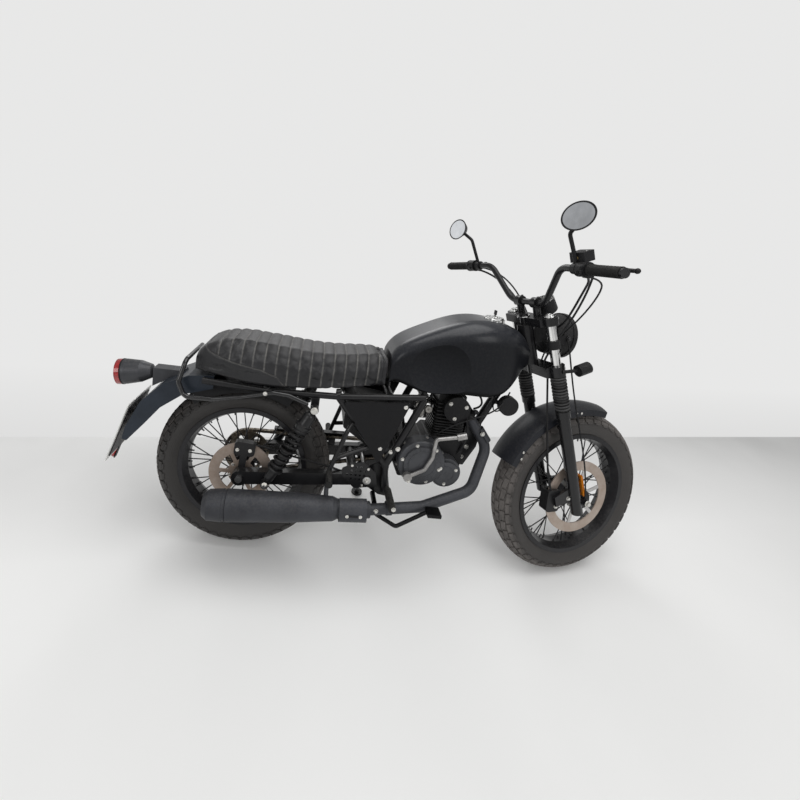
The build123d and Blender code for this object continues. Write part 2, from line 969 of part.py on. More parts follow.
def handlebar_risers():
    """Two posts on the top clamp, with the caps that hold the bar."""
    base = top_clamp_base + top_clamp_height
    shape = rod(
        (bar_reach, riser_half_spacing, base), (bar_reach, riser_half_spacing, bar_height), riser_radius,
    )
    low = riser_half_spacing - riser_cap_width / 2
    shape += cross_rod(bar_reach, bar_height, low, low + riser_cap_width, riser_cap_radius)
    shape -= cross_rod(
        bar_reach, bar_height, low - cut_over, low + riser_cap_width + cut_over, bar_radius + play,
    )
    return both(shape)


def grips():
    """The two rubber grips."""
    return bar_sleeve(1, 0, grip_length, grip_radius) + bar_sleeve(-1, 0, grip_length, grip_radius)


def hand_controls():
    """Switch housings, lever perches, levers and the brake fluid reservoir."""
    shape = Part()
    switch_start = grip_length + play
    perch_start = switch_start + switch_length
    middle = perch_start + perch_length / 2
    for side in (1, -1):
        shape += bar_sleeve(side, switch_start, switch_length, switch_radius)
        shape += bar_sleeve(side, perch_start, perch_length, perch_radius)
        lever = [
            bar_place(side, middle, bar_radius + lever_radius),
            bar_place(side, middle - lever_radius, lever_reach * lever_knee_share),
            bar_place(side, grip_length - lever_radius, lever_reach, -lever_drop),
            bar_place(side, middle - lever_length, lever_reach, -lever_drop),
        ]
        shape += bent_tube(lever, perch_radius, lever_radius)
    top = bar_place(-1, middle, reservoir_lead, perch_radius)
    cup = Box(
        reservoir_width, reservoir_length, reservoir_height, align=(Align.CENTER, Align.CENTER, Align.MIN),
    )
    cup = fillet(cup.edges().filter_by(Axis.Z), lever_radius)
    shape += Pos(*top) * cup
    shape += rod(
        bar_place(-1, middle, bar_radius + lever_radius),
        bar_place(-1, middle, reservoir_lead, perch_radius + lever_radius),
        lever_radius,
    )
    return shape


def mirror_place(side):
    """The point at the back of a mirror's shell where its stem ends."""
    middle = grip_length + switch_length + perch_length / 2
    spot = bar_place(side, middle, -mirror_back, mirror_rise)
    return (spot[0], spot[1] + side * mirror_out, spot[2])


def mirror_dish(start, length, share):
    """A dish with an oval outline that narrows forward, from a place along its axis."""
    back = Plane(origin=(start, 0, 0), x_dir=(0, 1, 0), z_dir=(1, 0, 0))
    front = Plane(origin=(start + length, 0, 0), x_dir=(0, 1, 0), z_dir=(1, 0, 0))
    wide = Ellipse(mirror_width / 2 * share, mirror_height / 2 * share)
    narrow = Ellipse(mirror_width / 2 * mirror_front_share, mirror_height / 2 * mirror_front_share)
    return loft([back * wide, front * narrow])


def mirrors(glass=False):
    """The two mirrors on their stems, or only their glasses."""
    middle = grip_length + switch_length + perch_length / 2
    shape = Part()
    for side in (1, -1):
        place = Pos(*mirror_place(side)) * Rot(0, rake_angle, 0)
        oval = Ellipse(mirror_width / 2 * mirror_wall_share, mirror_height / 2 * mirror_wall_share)
        flat = Plane(origin=(-mirror_depth, 0, 0), x_dir=(0, 1, 0), z_dir=(1, 0, 0))
        if glass:
            pane = extrude(flat * scale(oval, by=mirror_glass_share), amount=mirror_glass)
            shape += place * pane
        else:
            shell = mirror_dish(-mirror_depth, mirror_depth, 1)
            shell -= extrude(flat * oval, amount=mirror_glass + seat_gap)
            shape += place * shell
            top = mirror_place(side)
            foot = bar_place(side, middle, 0, bar_radius + lever_radius)
            knee = (foot[0] - mirror_back, foot[1], foot[2] + mirror_rise * mirror_knee_share)
            shape += bent_tube(
                [foot, knee, (top[0] - mirror_stem_radius, top[1], top[2])], perch_radius, mirror_stem_radius,
            )
    return shape


def headlamp():
    """The lamp bucket with its rim and the ears that hold it on the fork tubes."""
    half = lamp_depth / 2
    outline = [
        (-half, 0),
        (-half, lamp_back_share * lamp_radius),
        (-half * lamp_swell_share, lamp_swell_radius_share * lamp_radius),
        (half - lamp_rim_width, lamp_radius),
        (half - lamp_rim_width, lamp_radius + lamp_rim_step),
        (half, lamp_radius + lamp_rim_step),
        (half, lamp_radius - lamp_lens_sink),
        (half - lamp_lens_sink, lamp_radius - lamp_lens_sink),
        (half - lamp_lens_sink, 0),
    ]
    face = Plane.XZ * Polygon(*outline, align=None)
    bucket = Pos(lamp_reach, 0, lamp_height) * Rot(0, rake_angle, 0) * revolve(face, Axis.X)
    arm_y = lamp_radius + lamp_ear_thickness
    arm = Box(
        lamp_reach - leg_offset,
        lamp_ear_thickness,
        lamp_ear_width,
        align=(Align.MIN, Align.CENTER, Align.CENTER),
    )
    ear = Pos(leg_offset, arm_y, lamp_height) * arm
    low = (leg_offset, leg_half_spacing, lamp_height - lamp_ear_width / 2)
    high = (leg_offset, leg_half_spacing, lamp_height + lamp_ear_width / 2)
    ear += rod(low, high, stanchion_radius + lamp_ear_thickness)
    ear -= rod(low, high, stanchion_radius + play)
    ear += cross_rod(
        lamp_reach,
        lamp_height,
        lamp_radius * lamp_swell_radius_share,
        arm_y + lamp_ear_thickness,
        lamp_bolt_radius,
    )
    return bucket + both(ear)


def headlamp_lens():
    """The domed lens in the lamp's rim."""
    base = lamp_depth / 2 - lamp_lens_sink + seat_gap
    radius = lamp_radius - lamp_lens_sink - seat_gap
    ball = (radius**2 + lamp_lens_bulge**2) / (2 * lamp_lens_bulge)
    middle = (base + lamp_lens_sink + lamp_lens_bulge - ball + sqrt(ball**2 - radius**2 / 4), radius / 2)
    dome = ThreePointArc(
        (base + lamp_lens_sink, radius), middle, (base + lamp_lens_sink + lamp_lens_bulge, 0),
    )
    side = Polyline(
        (base + lamp_lens_sink + lamp_lens_bulge, 0),
        (base, 0),
        (base, radius),
        (base + lamp_lens_sink, radius),
    )
    lens = revolve(Plane.XZ * make_face([dome, side]), Axis.X)
    return Pos(lamp_reach, 0, lamp_height) * Rot(0, rake_angle, 0) * lens


def speedometer():
    """The round meter on a short arm from the top clamp."""
    place = Pos(meter_reach, 0, meter_height) * Rot(0, -meter_tilt_angle, 0)
    cup = Cylinder(meter_radius, meter_depth, align=(Align.CENTER, Align.CENTER, Align.MAX))
    cup = fillet(cup.edges().group_by(Axis.Z)[0], meter_round)
    cup -= Cylinder(meter_radius - meter_rim, meter_dial_sink, align=(Align.CENTER, Align.CENTER, Align.MAX))
    clamp_front = leg_offset / 2 + clamp_web_width / 2
    level = top_clamp_base + top_clamp_height / 2
    arm = rod((clamp_front, 0, level), (meter_reach, 0, level), meter_stem_radius)
    arm += rod((meter_reach, 0, level), (meter_reach, 0, meter_height - meter_depth / 2), meter_stem_radius)
    stop = rod((clamp_front, 0, level), (clamp_front - cut_over, 0, level), meter_radius)
    return place * cup + (arm - stop)


def turn_signals():
    """Two turn signals on stalks from the bottom clamp."""
    level = bottom_clamp_base + bottom_clamp_height / 2
    y = leg_half_spacing + clamp_boss_radius
    start = (leg_offset, y, level)
    end = (leg_offset + signal_length, y + signal_stalk_length, level)
    stalk = rod(start, end, signal_stalk_radius)
    stalk -= rod(
        (leg_offset, leg_half_spacing, level - cut_over),
        (leg_offset, leg_half_spacing, level + cut_over),
        clamp_boss_radius,
    )
    back = (end[0] - signal_length / 4, end[1], level)
    front = (end[0] + signal_length * 3 / 4, end[1], level)
    return both(stalk + rod(back, front, signal_radius))


def amber_reflector():
    """The reflector in its bracket, ahead of the right lower leg."""
    x = leg_offset + lower_leg_radius
    y = -leg_half_spacing
    plate = Box(
        reflector_depth, reflector_width, reflector_height, align=(Align.MIN, Align.CENTER, Align.CENTER),
    )
    return Pos(x + reflector_gap, y, reflector_level) * plate


def reflector_clip():
    """Two small posts on the right leg behind the reflector."""
    shape = Part()
    for share in (-reflector_clip_share, reflector_clip_share):
        z = reflector_level + share * reflector_height
        start = (leg_offset, -leg_half_spacing, z)
        end = (leg_offset + lower_leg_radius + reflector_gap, -leg_half_spacing, z)
        shape += rod(start, end, mirror_stem_radius)
    return shape


def brake_hose():
    """The front brake hose, from the bottom clamp to the caliper."""
    reach = front_disc_radius - disc_track / 2
    angle = radians(caliper_angle)
    x = fork_offset + reach * cos(angle)
    z = reach * sin(angle) + caliper_length / 2
    y = front_disc_plane - caliper_gap / 2 - caliper_wall / 2
    points = [
        (leg_offset / 2, -leg_half_spacing + clamp_boss_radius + hose_radius, bottom_clamp_base - hose_radius / 3),
        (leg_offset / 2 - clamp_boss_radius, -leg_half_spacing + clamp_boss_radius, lower_leg_top),
        (x, y, z + caliper_length),
        (x, y, z + seat_gap),
    ]
    return bent_tube(points, hose_bend, hose_radius)


def horn():
    """The round horn beside the down tube."""
    head = on_axis(0, down_tube_head_height)
    slope = (head[0] - down_tube_foot_x) / (head[1] - down_tube_foot_z)
    horn_x = down_tube_foot_x + slope * (horn_z - down_tube_foot_z) + horn_lead
    shape = cross_rod(horn_x, horn_z, horn_y, horn_y + horn_depth, horn_radius)
    root = (horn_x, horn_y + horn_depth - horn_post_radius / 2, horn_z)
    shape += rod(
        root, (horn_x - horn_reach, -gusset_half_width - horn_post_radius / 2, horn_z), horn_post_radius,
    )
    tube_foot = (down_tube_foot_x, 0, down_tube_foot_z)
    return shape - rod(tube_foot, (head[0], 0, head[1]), down_tube_radius + seat_gap)


# Frame, drawn upright in the motorcycle's own place
def main_frame():
    """Head tube, spine, down tube, cross tubes and the front engine plates."""
    bottom = bottom_clamp_base + bottom_clamp_height + seat_gap
    top = top_clamp_base - seat_gap
    low, high = on_axis(0, bottom), on_axis(0, top)
    head = rod((low[0], 0, low[1]), (high[0], 0, high[1]), head_tube_radius)
    spine_head = on_axis(0, spine_head_height)
    down_head = on_axis(0, down_tube_head_height)
    shape = head + rod((spine_head[0], 0, spine_head[1]), (spine_rear_x, 0, spine_rear_z), spine_radius)
    foot = (down_tube_foot_x, 0, down_tube_foot_z)
    shape += rod((down_head[0], 0, down_head[1]), foot, down_tube_radius)
    reach = down_head[0] - foot[0]
    outline = spread(gusset_shares, foot[0], foot[2], reach, spine_head[1] - foot[2])
    shape += side_plate(outline, -gusset_half_width, gusset_half_width)
    brace_inner = brace_half_width - brace_radius - seat_gap
    rail_inner = rail_half_width - rail_radius - seat_gap
    shape += cross_rod(tank_cross_x, tank_cross_z, -brace_inner, brace_inner, cross_tube_radius)
    shape += cross_rod(spine_rear_x, spine_cross_z, -rail_inner, rail_inner, cross_tube_radius)
    shape += rod((spine_rear_x, 0, spine_cross_z), (spine_rear_x, 0, spine_rear_z), cross_tube_radius)
    slope = (spine_head[1] - spine_rear_z) / (spine_head[0] - spine_rear_x)
    spine_z = spine_rear_z + slope * (tank_cross_x - spine_rear_x)
    shape += rod((tank_cross_x, 0, tank_cross_z), (tank_cross_x, 0, spine_z), cross_tube_radius)
    outline = spread(mount_shares, mount_x, mount_z, mount_length, mount_height)
    inner = mount_plate_half_spacing - mount_plate_thickness / 2
    shape += both(side_plate(outline, inner, inner + mount_plate_thickness))
    bolt_x = mount_x + mount_lug_share * mount_length
    bolt_z = mount_z + mount_lug_share * mount_height
    shape -= cross_rod(bolt_x, bolt_z, -cut_over, cut_over, mount_bolt_radius + play)
    bore_low, bore_high = on_axis(0, bottom - cut_over), on_axis(0, top + cut_over)
    bore = rod((bore_low[0], 0, bore_low[1]), (bore_high[0], 0, bore_high[1]), head_bore_radius)
    return shape - bore


def seat_rail(radius):
    """The left seat rail's tube."""
    rail = [
        (tank_cross_x, rail_half_width, rail_front_z),
        (rail_mid_x, rail_half_width, rail_mid_z),
        (rail_low_x, rail_half_width, rail_low_z),
        (rail_tail_x, rail_half_width, rail_tail_z),
    ]
    return bent_tube(rail, rail_bend_radius, radius)


def rear_frame():
    """The left side of the rear frame: seat rail, braces, pivot plate, hanger and shock mount."""
    shape = seat_rail(rail_radius)
    front = [
        (tank_cross_x, brace_half_width, tank_cross_z - rail_radius),
        (brace_knee_x, brace_half_width, brace_knee_z),
        (brace_low_x, brace_half_width, brace_low_z),
        (brace_foot_x, brace_half_width, brace_foot_z),
    ]
    shape += bent_tube(front, brace_bend, brace_radius)
    shape += rod(
        (rail_mid_x, brace_half_width, rail_mid_z),
        (brace_low_x, brace_half_width, brace_low_z),
        brace_radius,
    )
    outline = spread(
        pivot_plate_shares, pivot_plate_x, pivot_plate_base_z, pivot_plate_length, pivot_plate_height,
    )
    shape += side_plate(outline, pivot_plate_inner, pivot_plate_outer, pivot_plate_round)
    for x, z, radius in ((pivot_x, pivot_z, pivot_bolt_radius), (rear_bolt_x, rear_bolt_z, mount_bolt_radius)):
        shape -= cross_rod(x, z, 0, pivot_plate_outer + cut_over / 2, radius + play)
    lug = Box(
        2 * shock_eye_radius,
        shock_lug_width,
        rail_mid_z - shock_top_z + shock_pin_radius,
        align=(Align.CENTER, Align.CENTER, Align.MIN),
    )
    shape += Pos(shock_top_x, rail_half_width, shock_top_z - shock_pin_radius) * lug
    pin_end = shock_half_width + shock_eye_half_length + shock_pin_end
    shape += cross_rod(shock_top_x, shock_top_z, rail_half_width, pin_end, shock_pin_radius)
    return shape


def hanger(bottom):
    """The left passenger peg hanger, down to a given height."""
    start_z = hanger_top_z
    share = (rail_mid_z - start_z) / (rail_mid_z - brace_low_z)
    start_x = rail_mid_x + share * (brace_low_x - rail_mid_x)
    points = [
        (start_x, brace_half_width, start_z),
        (start_x - hanger_step, hanger_y, start_z - hanger_step),
        (hanger_x, hanger_y, hanger_peg_z),
        (hanger_x, hanger_y, bottom),
    ]
    shape = bent_tube(points, hanger_step / 2, rail_tube_radius)
    low_z = (hanger_top_z + hanger_peg_z) / 2
    share = (rail_mid_z - low_z) / (rail_mid_z - brace_low_z)
    low_x = rail_mid_x + share * (brace_low_x - rail_mid_x)
    middle_x = hanger_x + (start_x - hanger_step - hanger_x) / 3
    middle_z = hanger_peg_z + (start_z - hanger_step - hanger_peg_z) / 3
    return shape + rod((low_x, brace_half_width, low_z), (middle_x, hanger_y, middle_z), rail_tube_radius)


def rear_frame_left():
    """The left side of the rear frame with the side stand's bracket."""
    outline = spread(
        stand_bracket_shares, stand_bracket_x, stand_bracket_base_z, stand_bracket_length, stand_bracket_height
    )
    bracket = side_plate(outline, pivot_plate_outer - pivot_plate_round, stand_bracket_outer)
    inner = Vector(*stand_pivot()) - stand_axis() * (stand_ear_thickness / 2 + seat_gap)
    outer = Vector(*stand_pivot()) + stand_axis() * stand_sweep_radius
    root = inner - stand_axis() * cut_over
    bracket -= rod(inner, outer, stand_sweep_radius)
    bracket += rod(root, inner, stand_ear_radius)
    pin_end = Vector(*stand_pivot()) + stand_axis() * (stand_ear_thickness / 2 + seat_gap)
    head_end = pin_end + stand_axis() * stand_pin_radius
    bracket += rod(root, pin_end, stand_pin_radius)
    bracket += rod(pin_end, head_end, stand_head_radius)
    return rear_frame() + hanger(hanger_peg_z - hanger_step) + bracket


def rear_frame_right():
    """The right side of the rear frame, whose hanger also holds the muffler."""
    return mirror(rear_frame() + hanger(hanger_muffler_z), about=Plane.XZ)


def passenger_pegs():
    """Two pegs on the hangers behind the rider's feet."""
    low = hanger_y + rail_tube_radius + seat_gap
    return both(cross_rod(hanger_x, hanger_peg_z, low, low + passenger_peg_length, passenger_peg_radius))


def swing_arm():
    """Two arms joined by a cross tube ahead of the tyre, with the shock's lower pins."""
    arm_rise = pivot_z - rear_tyre_radius
    outline = [
        (0, rear_tyre_radius + arm_axle_radius),
        (pivot_x, pivot_z + arm_pivot_radius * arm_waist_share),
        (pivot_x, pivot_z - arm_pivot_radius * arm_waist_share),
        (0, rear_tyre_radius - arm_axle_radius * arm_waist_share),
    ]
    arm = side_plate(outline, arm_inner, arm_outer)
    arm += cross_rod(0, rear_tyre_radius, arm_inner, arm_outer, arm_axle_radius)
    arm += cross_rod(pivot_x, pivot_z, arm_inner, arm_outer, arm_pivot_radius)
    arm -= cross_rod(0, rear_tyre_radius, 0, arm_outer + cut_over, axle_radius + play)
    arm -= cross_rod(pivot_x, pivot_z, 0, arm_outer + cut_over, pivot_bolt_radius + play)
    pin_end = shock_half_width + shock_eye_half_length + shock_pin_end
    arm += cross_rod(shock_foot_x, shock_foot_z, (arm_inner + arm_outer) / 2, pin_end, shock_pin_radius)
    cross_x = pivot_x - arm_cross_setback
    cross_z = pivot_z - arm_rise * arm_cross_setback / pivot_x
    return both(arm) + cross_rod(cross_x, cross_z, -arm_inner, arm_inner, arm_cross_radius)


def pivot_bolt():
    """The swing arm's pivot bolt, from one side to the other, with its two nuts."""
    end = arm_outer + seat_gap
    shape = cross_rod(pivot_x, pivot_z, -end, end, pivot_bolt_radius)
    return shape + both(cross_rod(pivot_x, pivot_z, end, end + stand_pin_radius, pivot_nut_radius))


def rear_axle():
    """The rear axle with its nuts and spacers."""
    half = arm_outer + axle_nut_length
    z = rear_tyre_radius
    shape = cross_rod(0, z, -half, half, axle_radius)
    shape += both(cross_rod(0, z, arm_outer, half, axle_nut_radius))
    shape += cross_rod(0, z, rear_hub_end + seat_gap, arm_inner - seat_gap, spacer_radius)
    outer = rear_disc_plane - caliper_gap / 2
    return shape + cross_rod(0, z, outer, -rear_hub_end - seat_gap, spacer_radius)


def rear_caliper():
    """The rear brake caliper, with its bracket round the axle."""
    reach = rear_disc_radius - disc_track / 2
    half = caliper_gap / 2
    low, high = rear_disc_plane - half - rear_caliper_wall, rear_disc_plane + half + rear_caliper_wall
    angle = rear_caliper_angle
    centre = (reach * cos(radians(angle)), reach * sin(radians(angle)))
    length, width = caliper_length * rear_caliper_share, caliper_width * rear_caliper_share
    block = caliper_block(low, high, rear_disc_plane, centre, angle, length, width)
    plate_low, plate_high = low, rear_disc_plane - half
    ring = cross_rod(0, 0, plate_low, plate_high, arm_pivot_radius)
    arm = Box(
        reach - width / 2, plate_high - plate_low, width / 2, align=(Align.MIN, Align.CENTER, Align.CENTER),
    )
    arm = Pos(0, (plate_low + plate_high) / 2, 0) * Rot(0, -angle, 0) * arm
    bracket = ring + arm - cross_rod(0, 0, plate_low - cut_over, plate_high + cut_over, axle_radius + play)
    return Pos(0, 0, rear_tyre_radius) * (block + bracket)


def shock():
    """The left shock absorber: two eyes, a rod, a body and the coil's ribs."""
    foot, top = Vector(shock_foot_x, 0, shock_foot_z), Vector(shock_top_x, 0, shock_top_z)
    run = (top - foot).length
    low = shock_coil_start_share * run
    pitch = (shock_coil_end_share - shock_coil_start_share) * run / shock_coil_turns
    inner = shock_coil_radius - shock_wire_radius
    outline = [(0, 0), (shock_body_radius, 0), (shock_body_radius, low)]
    for turn in range(shock_coil_turns):
        start = low + turn * pitch
        outline += [
            (inner, start),
            (shock_coil_radius + shock_wire_radius, start + pitch / 4),
            (shock_coil_radius + shock_wire_radius, start + pitch * 3 / 4),
        ]
    end = low + shock_coil_turns * pitch
    outline += [(inner, end), (shock_body_radius + shock_wire_radius, end), (shock_body_radius + shock_wire_radius, end + pitch)]
    outline += [(shock_rod_radius, end + pitch), (shock_rod_radius, run), (0, run)]
    column = revolve(Plane.XZ * Polygon(*outline, align=None), Axis.Z)
    place = Plane(origin=(foot.X, shock_half_width, foot.Z), x_dir=(0, 1, 0), z_dir=(top - foot))
    shape = place * column
    for spot in (foot, top):
        low_y, high_y = shock_half_width - shock_eye_half_length, shock_half_width + shock_eye_half_length
        shape += cross_rod(spot.X, spot.Z, low_y, high_y, shock_eye_radius)
    for spot in (foot, top):
        shape -= cross_rod(spot.X, spot.Z, 0, shock_half_width * 2, shock_pin_radius + play)
    return shape


# Bodywork
def rounded_section(x, low, high, half, top_round, low_round):
    """A section across the motorcycle: a rounded oblong face."""
    sketch = Polygon((-half, low), (half, low), (half, high), (-half, high), align=None)
    lows = [v for v in sketch.vertices() if v.Y < (low + high) / 2]
    highs = [v for v in sketch.vertices() if v.Y > (low + high) / 2]
    sketch = fillet(lows, low_round)
    highs = [v for v in sketch.vertices() if v.Y > high - top_round / 2]
    sketch = fillet(highs, top_round)
    return Plane(origin=(x, 0, 0), x_dir=(0, 1, 0), z_dir=(1, 0, 0)) * sketch


def fuel_tank():
    """The fuel tank, with a tunnel over the spine, a filler neck seat and room for the head tube."""
    sections = []
    for along, low, high, wide, top_round, low_round in tank_stations:
        x = tank_rear_x + along * tank_length
        z_low, z_high = tank_base_z + low * tank_height, tank_base_z + high * tank_height
        half = wide * tank_half_width
        sections.append(rounded_section(x, z_low, z_high, half, top_round * half, low_round * half))
    shape = loft(sections)
    spine_head = on_axis(0, spine_head_height)
    spine_start = (spine_rear_x - cut_over, 0, spine_rear_z)
    tunnel_radius = spine_radius + tunnel_gap
    tunnel = rod(
        (spine_rear_x - tunnel_radius, 0, spine_rear_z), (spine_head[0], 0, spine_head[1]), tunnel_radius,
    )
    shape -= tunnel
    for step in range(tunnel_step_count):
        drop = (step + 1) * tunnel_radius
        shape -= Pos(0, 0, -drop) * tunnel
    low, high = on_axis(0, bottom_clamp_base), on_axis(0, top_clamp_base + top_clamp_height)
    shape -= rod((low[0], 0, low[1]), (high[0], 0, high[1]), head_tube_radius + tank_notch_gap)
    pocket = rod((cap_x, 0, cap_seat_z), (cap_x, 0, cap_seat_z + tank_height), cap_radius + seat_gap)
    knee_y = knee_side_share * tank_half_width + knee_radius - knee_depth
    return shape - pocket - both(Pos(knee_x, knee_y, knee_z) * Sphere(knee_radius))


def tank_pads():
    """Two rubber blocks between the cross tube and the tank."""
    high = tank_base_z + tank_notch_gap * 2
    pad = rod(
        (tank_cross_x, tank_pad_half_spacing, tank_cross_z),
        (tank_cross_x, tank_pad_half_spacing, high),
        tank_pad_radius,
    )
    pad -= cross_rod(tank_cross_x, tank_cross_z, 0, rail_half_width, cross_tube_radius + play)
    pad -= Pos(tank_cross_x, tank_pad_half_spacing, 0) * Cylinder(tank_pad_radius * 2, tank_cross_z * 2)
    return both(pad - Pos(0, 0, -seat_gap) * fuel_tank())


def fuel_cap():
    """The filler cap: a knob with scallops round its edge."""
    cap = Cylinder(cap_radius - cap_lip, cap_height + cap_lip, align=(Align.CENTER, Align.CENTER, Align.MIN))
    knob = Cylinder(cap_radius, cap_height, align=(Align.CENTER, Align.CENTER, Align.MIN))
    knob = fillet(knob.edges().group_by(Axis.Z)[-1], cap_lip / 2)
    for step in range(cap_scallop_count):
        turn = radians(step * 360 / cap_scallop_count)
        reach = cap_radius + cap_scallop_radius / 2
        knob -= Pos(reach * cos(turn), reach * sin(turn), 0) * Cylinder(cap_scallop_radius, cap_height * 3)
    return Pos(cap_x, 0, cap_seat_z + seat_gap) * (cap + knob)


def seat():
    """The long seat with its soft raised rear."""
    sections = []
    for along, low, high, wide in seat_stations:
        x = seat_tail_x + along * seat_length
        z_low, z_high = seat_base_z + low * seat_height, seat_base_z + high * seat_height
        half = wide * seat_half_width
        tall = z_high - z_low
        sections.append(
            rounded_section(x, z_low, z_high, half, seat_round_share * tall, seat_low_round_share * tall),
        )
    return loft(sections)


def seat_pads():
    """Four rubber blocks between the rails and the seat's base."""
    shape = Part()
    for x, rail_z in ((rail_low_x, rail_low_z), (rail_mid_x, rail_mid_z)):
        high = (x, rail_half_width, seat_base_z + seat_height / 2)
        pad = rod((x, rail_half_width, rail_z), high, seat_pad_radius)
        shape += pad - Pos(x, rail_half_width, rail_z / 2) * Box(2 * rail_radius, 2 * rail_radius, rail_z)
    return both(shape - seat_rail(rail_radius + play) - Pos(0, 0, -seat_gap) * seat())


def side_cover():
    """The left side cover: a three-cornered plate whose lower part is set in."""
    outline = spread(cover_shares, cover_left_x, cover_base_z, cover_length, cover_height)
    inner = brace_half_width + brace_radius + seat_gap
    shape = side_plate(outline, inner, inner + cover_thickness)
    shape = fillet(shape.edges().filter_by(Axis.Y), cover_round / 4)
    step = Box(
        cover_length * 2,
        cover_step,
        cover_height * cover_lower_share,
        align=(Align.CENTER, Align.MAX, Align.MIN),
    )
    shape -= Pos(cover_left_x + cover_length / 2, inner + cover_thickness, cover_base_z) * step
    return shape


def air_box():
    """The air box between the side covers, with its duct to the carburettor."""
    outline = spread(air_box_shares, air_box_x, air_box_base_z, air_box_length, air_box_height)
    shape = side_plate(outline, -air_box_half_width, air_box_half_width, air_box_round)
    front = air_box_x + air_box_length - cut_over
    return shape + rod((front, 0, carb_z), (carb_rear_x - seat_gap, 0, carb_z), carb_radius - seat_gap)


# Engine
def crankcase():
    """The crankcase with its front lug, rear bolt and output shaft."""
    outline = spread(case_shares, case_x, case_base_z, case_length, case_height)
    shape = side_plate(outline, -case_half_width, case_half_width, case_round)
    bolt_x = mount_x + mount_lug_share * mount_length
    bolt_z = mount_z + mount_lug_share * mount_height
    half = mount_plate_half_spacing - mount_plate_thickness / 2 - seat_gap
    lug = cross_rod(bolt_x, bolt_z, -half, half, mount_bolt_head)
    lug += Pos(bolt_x, 0, bolt_z) * Box(
        2 * mount_bolt_head, 2 * half, 2 * mount_bolt_head, align=(Align.MAX, Align.CENTER, Align.CENTER),
    )
    bolt_end = mount_plate_half_spacing + mount_bolt_head
    lug += cross_rod(bolt_x, bolt_z, -bolt_end, bolt_end, mount_bolt_radius)
    boss = pivot_plate_inner - seat_gap
    shape += lug + cross_rod(rear_bolt_x, rear_bolt_z, -boss, boss, mount_bolt_head)
    end = pivot_plate_outer + mount_bolt_radius
    shape += cross_rod(rear_bolt_x, rear_bolt_z, -end, end, mount_bolt_radius)
    return shape + cross_rod(
        front_sprocket_x,
        front_sprocket_z,
        case_half_width,
        chain_plane - chain_width / 2 - seat_gap,
        mount_bolt_head,
    )


def clutch_cover():
    """The right engine cover: two joined rounds with raised discs, and the kick shaft's boss."""
    low = case_half_width + seat_gap
    high = low + clutch_cover_depth
    shape = cross_rod(clutch_x, clutch_z, low, high, clutch_radius)
    shape += cross_rod(filter_x, filter_z, low, high - clutch_cover_round, filter_radius)
    shape = fillet(shape.edges().group_by(Axis.Y)[-1], clutch_cover_round / 2)
    shape += cross_rod(clutch_x, clutch_z, low, high + clutch_dome_height, clutch_dome_radius)
    shape += cross_rod(
        filter_x, filter_z, low, high - clutch_cover_round + filter_cap_height, filter_cap_radius,
    )
    shape += cross_rod(kick_x, kick_z, low, high + filter_cap_height, kick_boss_radius)
    return mirror(shape, about=Plane.XZ)


def generator_cover():
    """The left engine cover, a deep round cap."""
    low = case_half_width + seat_gap
    shape = cross_rod(generator_x, generator_z, low, low + generator_depth, generator_radius)
    return fillet(shape.edges().group_by(Axis.Y)[-1], generator_round)


def finned(base, height, count, length, width):
    """A stack of flat fins with rounded corners."""
    pitch = height / count
    shape = Part()
    for step in range(count):
        fin = Box(length, width, fin_thickness, align=(Align.CENTER, Align.CENTER, Align.MIN))
        fin = fillet(fin.edges().filter_by(Axis.Z), fin_round)
        shape += Pos(barrel_x, 0, base + step * pitch + (pitch - fin_thickness) / 2) * fin
    return shape


def cylinder():
    """The finned barrel on the crankcase."""
    base = case_base_z + case_height + seat_gap
    height = barrel_height - seat_gap * 2
    shape = finned(base, height, fin_count, barrel_length, barrel_width)
    return shape + rod((barrel_x, 0, base), (barrel_x, 0, base + height), barrel_core_radius)


def cylinder_head():
    """The head with its fins, cam cover, rocker cover and exhaust port."""
    base = case_base_z + case_height + barrel_height
    core = Box(head_core_length, head_core_width, head_height, align=(Align.CENTER, Align.CENTER, Align.MIN))
    shape = Pos(barrel_x, 0, base) * core
    shape += finned(base, head_height * head_fin_share, head_fin_count, barrel_length, barrel_width)
    top = Box(rocker_length, rocker_width, rocker_height, align=(Align.CENTER, Align.CENTER, Align.MIN))
    shape += Pos(barrel_x, 0, base + head_height) * top
    cam_y = -barrel_width / 2 - cam_cover_depth
    shape += cross_rod(barrel_x + cam_lead, cam_cover_z, cam_y, 0, cam_cover_radius)
    start = Vector(*header_points[0])
    back = (start - Vector(*header_points[1])).normalized()
    root = start + back * (port_radius + port_length)
    shape += rod(root, (start + back * seat_gap), port_radius)
    return shape


def barrel_clear():
    """The barrel, cut clear of the cam cover and of the exhaust port."""
    cam_y = -barrel_width / 2 - cam_cover_depth
    clear = cross_rod(
        barrel_x + cam_lead, cam_cover_z, cam_y, -barrel_core_radius, cam_cover_radius + seat_gap,
    )
    return cylinder() - clear


def carburettor():
    """The carburettor behind the head."""
    front = barrel_x - barrel_length / 2 - seat_gap
    shape = rod((carb_rear_x, 0, carb_z), (front, 0, carb_z), carb_radius)
    x = (carb_rear_x + front) / 2
    shape += rod((x, 0, carb_z - carb_bowl_depth), (x, 0, carb_z), carb_bowl_radius)
    return shape + rod((x, 0, carb_z), (x, 0, carb_z + carb_top_height), carb_top_radius)


# Exhaust
def header_pipe():
    """The header pipe from the head's port to the muffler's neck."""
    return bent_tube(header_points, header_bend, header_radius)


